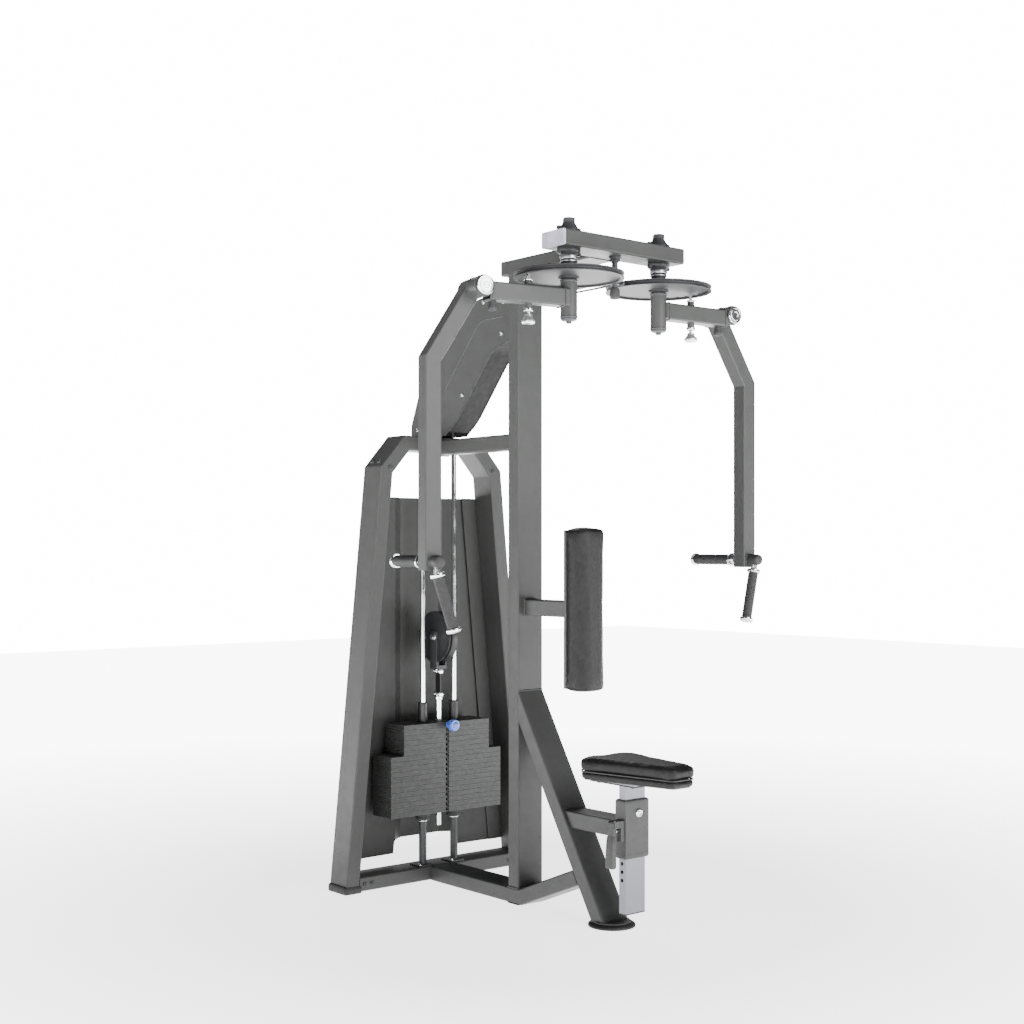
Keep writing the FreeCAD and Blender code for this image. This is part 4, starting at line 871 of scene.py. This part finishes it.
def guard_trim():
    """The seam, screws and dark lower lip of the cable guard."""
    seam = Shape()
    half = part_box("guard_left_plate")[0].x / MM
    path = [(52, 1829), (169, 1828), (354, 1623)]
    bend = []
    corner, before, after = Vector(path[1]), Vector(path[0]), Vector(path[2])
    start = corner + (before - corner).normalized() * 34
    end = corner + (after - corner).normalized() * 34
    for step in range(9):
        share = step / 8
        bend.append(start.lerp(corner, share).lerp(corner.lerp(end, share), share))
    line = [Vector(path[0])] + bend + [Vector(path[2])]
    for side in (-1, 1):
        seam.tube([(side * (abs(half) + 0.1), point.x, point.y) for point in line], 1.5, 8)
    keep(seam, "guard_seams", "dark_steel")
    screws = Shape()
    screw_places = ((52, 1874), (152, 1884), (62, 1776), (262, 1598), (388, 1498), (505, 1500), (438, 1690))
    for depth, level in screw_places:
        for side in (-1, 1):
            screws.socket_bolt((side * abs(half), depth, level), (side, 0, 0), 6.2, 3.6)
    keep(screws, "guard_screws", "chrome")
    lip = Shape()
    outline = [(26, 1752), (115, 1724), (293, 1518), (356, 1474)]
    run = []
    for index, (first, second) in enumerate(zip(outline, outline[1:])):
        first, second = Vector(first), Vector(second)
        parts = int((second - first).length / 8)
        run += [first.lerp(second, part / parts) for part in range(parts)]
    run.append(Vector(outline[-1]))
    eased = [run[0]]
    for index in range(1, len(run) - 1):
        eased.append((run[max(0, index - 3)] + run[index] * 2 + run[min(len(run) - 1, index + 3)]) / 4)
    eased.append(run[-1])
    for side in (-1, 1):
        lip.tube([(side * (abs(half) - 1.4), point.x, point.y) for point in eased], 2.6, 10)
    keep(lip, "guard_edging", "black_rubber")


def shield_trim():
    """Fasteners of the rear shield."""
    low, high = box_mm("rear_shield")
    screws = Shape()
    for level in (150, 420, 700, 980, 1235):
        lean = (385 - 250) / 1369
        edge = 385 - 8 - lean * level
        for side in (-1, 1):
            screws.socket_bolt((side * (edge - 16), 526.2, level), (0, 1, 0), 6.5, 3.8)
    keep(screws, "shield_screws", "dark_steel")


frame_welds()
tower_bolts()
floor_trim()
guard_trim()
shield_trim()


# ---------------------------------------------------------------- weight stack, lift and seat trim

PLATE_CHAMFER = 0.0028


def ground_edges(node, width):
    """Chamfers along the edges of a CAD node's plates, cut by modifiers."""
    plates = NODES[node]
    weld = plates.modifiers.new("weld", "WELD")
    weld.merge_threshold = 0.00002
    flat = plates.modifiers.new("flat", "DECIMATE")
    flat.decimate_type = "DISSOLVE"
    flat.angle_limit = math.radians(2)
    chamfer = plates.modifiers.new("chamfer", "BEVEL")
    chamfer.width = width
    chamfer.segments = 2
    chamfer.limit_method = "ANGLE"
    chamfer.angle_limit = math.radians(60)


def stack_trim():
    """Rubber rings and collars of the guide rods, and the clips at the rods' tops."""
    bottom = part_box("wide_plates")[0].z / MM
    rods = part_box("guide_rods")
    reach, depth = (rods[1].x / MM) - 8.5, (rods[0].y + rods[1].y) / 2 / MM
    rubber = Shape()
    bright = Shape()
    for side in (-1, 1):
        place = (side * reach, depth, 0)
        donut = [(9.4, bottom - 25.5), (20, bottom - 25.8), (23.6, bottom - 23), (24.8, bottom - 18),
                 (23.2, bottom - 13.6), (24.8, bottom - 9), (23.6, bottom - 3.4), (20, bottom - 0.9),
                 (9.4, bottom - 0.6)]
        rubber.turned(donut, place, (0, 0, 1), 44)
        bright.washer(14.6, 9, 5, (side * reach, depth, 1417.5), soft=1.2)
        bright.washer(16.4, 12.8, 3.5, (side * reach, depth, bottom - 30), soft=1)
        bright.bolt((side * reach - 20, depth - 14, 54.8), (0, 0, 1), 9, 6, 7)
        bright.bolt((side * reach + 20, depth + 24, 54.8), (0, 0, 1), 9, 6, 7)
    keep(rubber, "stack_bumpers", "black_rubber")
    keep(bright, "rod_collars", "chrome")


def lift_trim():
    """Sleeve flanges, the strap's clamps, the swivel bolt and the wheel's covers."""
    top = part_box("top_plate")[1].z / MM
    reach, depth = 65, 451
    flanges = Shape()
    for side in (-1, 1):
        flanges.washer(19.5, 15, 4.5, (side * reach, depth, top + 0.1), soft=1.4)
        flanges.washer(16.6, 15, 5, (side * reach, depth, top + 60.2), soft=1.4)
    keep(flanges, "sleeve_flanges", "black_plastic", "lift")
    clamps = Shape()
    for level, half in ((607, 13), (684, 13)):
        clamps.block((-7.5, depth - half - 4, level), (7.5, depth + half + 4, level + 16), 2.0)
        for offset in (-9, 9):
            clamps.socket_bolt((-7.4, depth + offset, level + 8), (-1, 0, 0), 4.6, 4)
            clamps.socket_bolt((7.4, depth + offset, level + 8), (1, 0, 0), 4.6, 4)
    clamps.turned([(12.5, top + 0.1), (12.5, top + 6), (11, top + 8), (0, top + 8)], (0, depth, 0),
                  (0, 0, 1), 6)
    clamps.turned([(10.9, 596), (13, 597.4), (13, 606), (11.4, 608), (0, 608)], (0, depth, 0), (0, 0, 1), 40)
    keep(clamps, "strap_clamps", "chrome", "lift")
    yoke = Shape()
    for side in (-1, 1):
        yoke.bolt((side * 20.4, depth, 807), (side, 0, 0), 17, 10, 12)
    yoke.turned([(9, 688), (9, 701), (0, 701)], (0, depth, 0), (0, 0, 1), 6)
    keep(yoke, "yoke_bolts", "chrome", "lift")
    cover = Shape()
    for side in (-1, 1):
        rim = [(84, 0), (85.4, 0.8), (85.6, 2.2), (82, 3.0), (77, 1.0), (70, 0.6), (60, 0.7)]
        rim += [(40, 0.7), (36, 1.4), (31, 1.6), (27, 0.9), (0, 0.9)]
        cover.turned(rim, (side * 14.6, depth, 807), (side, 0, 0), 72)
    keep(cover, "wheel_covers", "pulley_nylon", "floating_wheel")


def selector_knob():
    """The blue ball knob with its collar; it rides on the selector pin."""
    low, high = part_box("selector_pin")
    front = low.y / MM
    level = (low.z + high.z) / 2 / MM
    knob = Shape()
    profile = [(0, -1.5), (8, -1.2), (14.6, 0.6), (18.6, 4.2), (20.2, 9), (19.8, 14.4), (17, 19),
               (12.6, 22.4),
               (10.2, 24.6), (9.6, 28), (11.6, 29.6), (12.2, 33), (11.4, 36.4), (9.2, 38), (0, 38)]
    rings = []
    for radius, height in profile:
        if radius == 0:
            rings.append([(0, 0, height)])
            continue
        lobes = 0.035 if 2 < height < 20 else 0.0
        rings.append([(radius * (1 + lobes * math.cos(10 * math.tau * step / 60))
                       * math.cos(math.tau * step / 60),
                       radius * (1 + lobes * math.cos(10 * math.tau * step / 60))
                       * math.sin(math.tau * step / 60),
                       height) for step in range(60)])
    knob.add(rings, Matrix.Translation((0, front, level)) @ basis((0, 1, 0)))
    keep(knob, "selector_knob", "blue_knob", "selector_pin")


def seat_trim():
    """Sleeve collars, the front bolt, the release lever's grip and the post's end plug."""
    low, high = box_mm("seat_sleeve")
    sleeve = Shape()
    half_x, front, back = high.x, low.y, high.y
    middle = (front + back) / 2
    half_y = (back - front) / 2
    for level, way in ((high.z, 1), (low.z, -1)):
        face = rounded([(-half_x - 0.6, -half_y - 0.6), (half_x + 0.6, -half_y - 0.6),
                        (half_x + 0.6, half_y + 0.6), (-half_x - 0.6, half_y + 0.6)], 5, 5)
        hole = rounded([(-40.3, -15.3), (40.3, -15.3), (40.3, 15.3), (-40.3, 15.3)], 4, 5)
        rings = [[(point.x, point.y + middle, level - way * 9) for point in face],
                 [(point.x, point.y + middle, level - way * 1.5) for point in face],
                 [(point.x * 0.985, middle + point.y * 0.97, level + way * 1.6) for point in face],
                 [(point.x * 0.95, middle + point.y * 0.9, level + way * 3.4) for point in face],
                 [(point.x, point.y + middle, level + way * 3.6) for point in hole],
                 [(point.x, point.y + middle, level - way * 6) for point in hole]]
        sleeve.add(rings, Matrix(), False, False)
    keep(sleeve, "sleeve_collars", "frame_grey")
    bolt = Shape()
    bolt.turned([(11.5, 0), (12.4, 0.5), (12.6, 2.2), (11.4, 3.6), (8.4, 4.4), (7.6, 3.6), (7, 1.6),
                 (4.4, 1.4),
                 (4.2, 3.8), (3, 4.4), (0, 4.4)], (6, front - 0.2, 344), (0, -1, 0), 44)
    bolt.bolt((-60.2, middle + 11, 318), (-1, 0, 0), 8, 5, 6)
    keep(bolt, "sleeve_bolts", "chrome")
    grip = Shape()
    lever_low, lever_high = box_mm("release_lever")
    y_low, y_high = lever_low.y - 2.2, lever_high.y + 2.2
    centre_y = (y_low + y_high) / 2
    path = [(-90.6, 191.5), (-93.4, 194), (-94, 200), (-92.2, 240), (-90.2, 262), (-86, 284)]
    inner = [(-79.8, 284), (-77.4, 262), (-76.2, 240), (-75.2, 200), (-76.2, 193.8), (-79, 191.5)]
    outline = [(x, z) for x, z in path + inner]
    turn = Matrix.Translation((0, centre_y, 0)) @ Matrix.Rotation(math.radians(90), 4, "X")
    half = (y_high - y_low) / 2
    grip.prism(outline, -half, half, turn, 2.6)
    keep(grip, "release_grip", "frame_grey", "release_lever")
    plug = Shape()
    plug.block((-39.6, -490.6, 52.5), (39.6, -461.4, 59), 2.4)
    keep(plug, "post_plug", "black_plastic", "seat")
    holder = Shape()
    holder.block((-62, -548, 426), (62, -364, 430), 1.6)
    for x in (-46, 46):
        for y in (-526, -386):
            holder.bolt((x, y, 428), (0, 0, -1), 10, 6, 8)
    keep(holder, "seat_plate_bolts", "dark_steel", "seat")


def pad_trim():
    """Bolts through the back pad's board and the centre stop's rubber tip."""
    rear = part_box("back_pad_board")[1].y / MM
    bolts = Shape()
    for x in (-30, 30):
        for level in (878, 962):
            bolts.bolt((x, rear, level), (0, 1, 0), 11, 7, 9)
    keep(bolts, "pad_bolts", "dark_steel")
    stop_low, stop_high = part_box("centre_stop")
    tip = Shape()
    level = stop_low.z / MM
    middle = (stop_low.y + stop_high.y) / 2 / MM
    tip.turned([(0, -1), (9, -0.8), (13, 0.8), (14.6, 4), (15, 12), (14.4, 24), (13.4, 30), (10.4, 32),
                (9, 32)],
               (0, middle, level), (0, 0, 1), 40)
    keep(tip, "stop_tip", "black_rubber")
    nuts = Shape()
    nuts.turned([(16, 0), (16, 9), (14, 11), (9, 11)], (0, middle, 1948.5), (0, 0, -1), 6)
    nuts.turned([(14, 0), (14, 8), (12.4, 9.6), (9, 9.6)], (0, middle, 1880), (0, 0, -1), 6)
    keep(nuts, "stop_nuts", "dark_steel")


def cable_trim():
    """Swaged ends where each cable is fixed to its disc, and the discs' small pegs."""
    for name, side in SIDES.items():
        pivot = joint_mm(name + "_cam_turn")
        peg = Shape()
        lane = pivot.x - side * 160
        for angle in (205 if side < 0 else -25, 155 if side < 0 else 25):
            turn = math.radians(angle)
            spot = (pivot.x + 140 * math.cos(turn), pivot.y + 140 * math.sin(turn), 1879)
            peg.turned([(8, 0), (8, 6), (6.6, 8), (3.4, 8.6), (3.4, 12), (0, 12.4)], spot, (0, 0, 1), 24)
        peg.turned([(3.2, 0), (5.4, 1), (5.8, 4), (5.8, 22), (5.2, 25), (3.2, 26)],
                   (lane, pivot.y - 20, 1876), (0, 1, 0), 24)
        keep(peg, name + "_disc_pegs", "dark_steel", name + "_cam")


for plate_node in ("wide_plates", "narrow_plates", "top_plate"):
    ground_edges(plate_node, PLATE_CHAMFER)
stack_trim()
lift_trim()
selector_knob()
seat_trim()
pad_trim()
cable_trim()


# ---------------------------------------------------------------- floor, light and camera

ROOM_LIGHT = 0.16
WALL_GLOW = 16
NEAR_FLOOR_GLOW = 2.6
FLOOR_GLOW = 9


def studio_floor():
    """Pale floor that glows brighter with distance, as painted light, so that it meets the white wall softly."""
    paint = Paint("studio_floor", (0.86, 0.86, 0.87), 0.55)
    paint.link(paint.mix(paint.ramp(paint.noise(0.9, 3), 0, 1), (0.85, 0.85, 0.86), (0.87, 0.87, 0.88)),
               "Base Color")
    reach = paint.node("ShaderNodeVectorMath", {0: paint.place}, operation="LENGTH").outputs["Value"]
    # The floor glows by emission, weaker beside the machine and stronger far off: painted light that also lights
    # the machine from below.
    paint.shader.inputs["Emission Color"].default_value = (1, 1, 1, 1)
    paint.link(paint.ramp(reach, NEAR_FLOOR_GLOW, FLOOR_GLOW, 0.9, 4.5), "Emission Strength")
    return paint.made


def stage():
    floor_half = 12.0
    mesh = bpy.data.meshes.new("floor")
    corners = [(-floor_half, -floor_half, 0), (floor_half, -floor_half, 0),
               (floor_half, floor_half, 0), (-floor_half, floor_half, 0)]
    mesh.from_pydata(corners, [], [(0, 1, 2, 3)])
    floor = bpy.data.objects.new("floor", mesh)
    SCENE.collection.objects.link(floor)
    mesh.materials.append(studio_floor())

    world = bpy.data.worlds.new("studio")
    SCENE.world = world
    world.use_nodes = True
    tree = world.node_tree
    light = tree.nodes["Background"]
    light.inputs["Color"].default_value = (1.0, 1.0, 1.0, 1)
    light.inputs["Strength"].default_value = ROOM_LIGHT
    wall = tree.nodes.new("ShaderNodeBackground")
    wall.inputs["Color"].default_value = (1.0, 1.0, 1.0, 1)
    wall.inputs["Strength"].default_value = WALL_GLOW
    seen = tree.nodes.new("ShaderNodeLightPath")
    chosen = tree.nodes.new("ShaderNodeMixShader")
    tree.links.new(seen.outputs["Is Camera Ray"], chosen.inputs["Fac"])
    tree.links.new(light.outputs["Background"], chosen.inputs[1])
    tree.links.new(wall.outputs["Background"], chosen.inputs[2])
    tree.links.new(chosen.outputs["Shader"], tree.nodes["World Output"].inputs["Surface"])


def softbox(name, place, target, size, power, colour=(1, 1, 1)):
    light = bpy.data.lights.new(name, "AREA")
    light.shape = "RECTANGLE"
    light.size, light.size_y = size
    light.energy = power
    light.color = colour
    lamp = bpy.data.objects.new(name, light)
    lamp.location = place
    lamp.rotation_euler = (Vector(target) - Vector(place)).to_track_quat("-Z", "Y").to_euler()
    SCENE.collection.objects.link(lamp)


def camera():
    """Level camera at the front left, with its horizon a little below the picture's middle."""
    lens = bpy.data.cameras.new("camera")
    lens.sensor_width = 36.0
    lens.lens = 53.42
    lens.shift_y = 0.0352
    holder = bpy.data.objects.new("camera", lens)
    holder.location = (-3.0638, -3.6202, 1.1039)
    holder.rotation_euler = (math.radians(90), 0, math.radians(-39.74))
    SCENE.collection.objects.link(holder)
    SCENE.camera = holder


stage()
softbox("key_light", (0.2, -3.9, 2.6), (0, -0.2, 0.9), (2.4, 2.4), 140)
softbox("left_strip", (-4.0, -1.4, 2.0), (0, 0, 1.1), (0.7, 2.4), 26, (0.93, 0.93, 1.0))
softbox("back_light", (2.2, 3.6, 3.2), (0, 0.2, 1.0), (2.4, 2.0), 60)
camera()
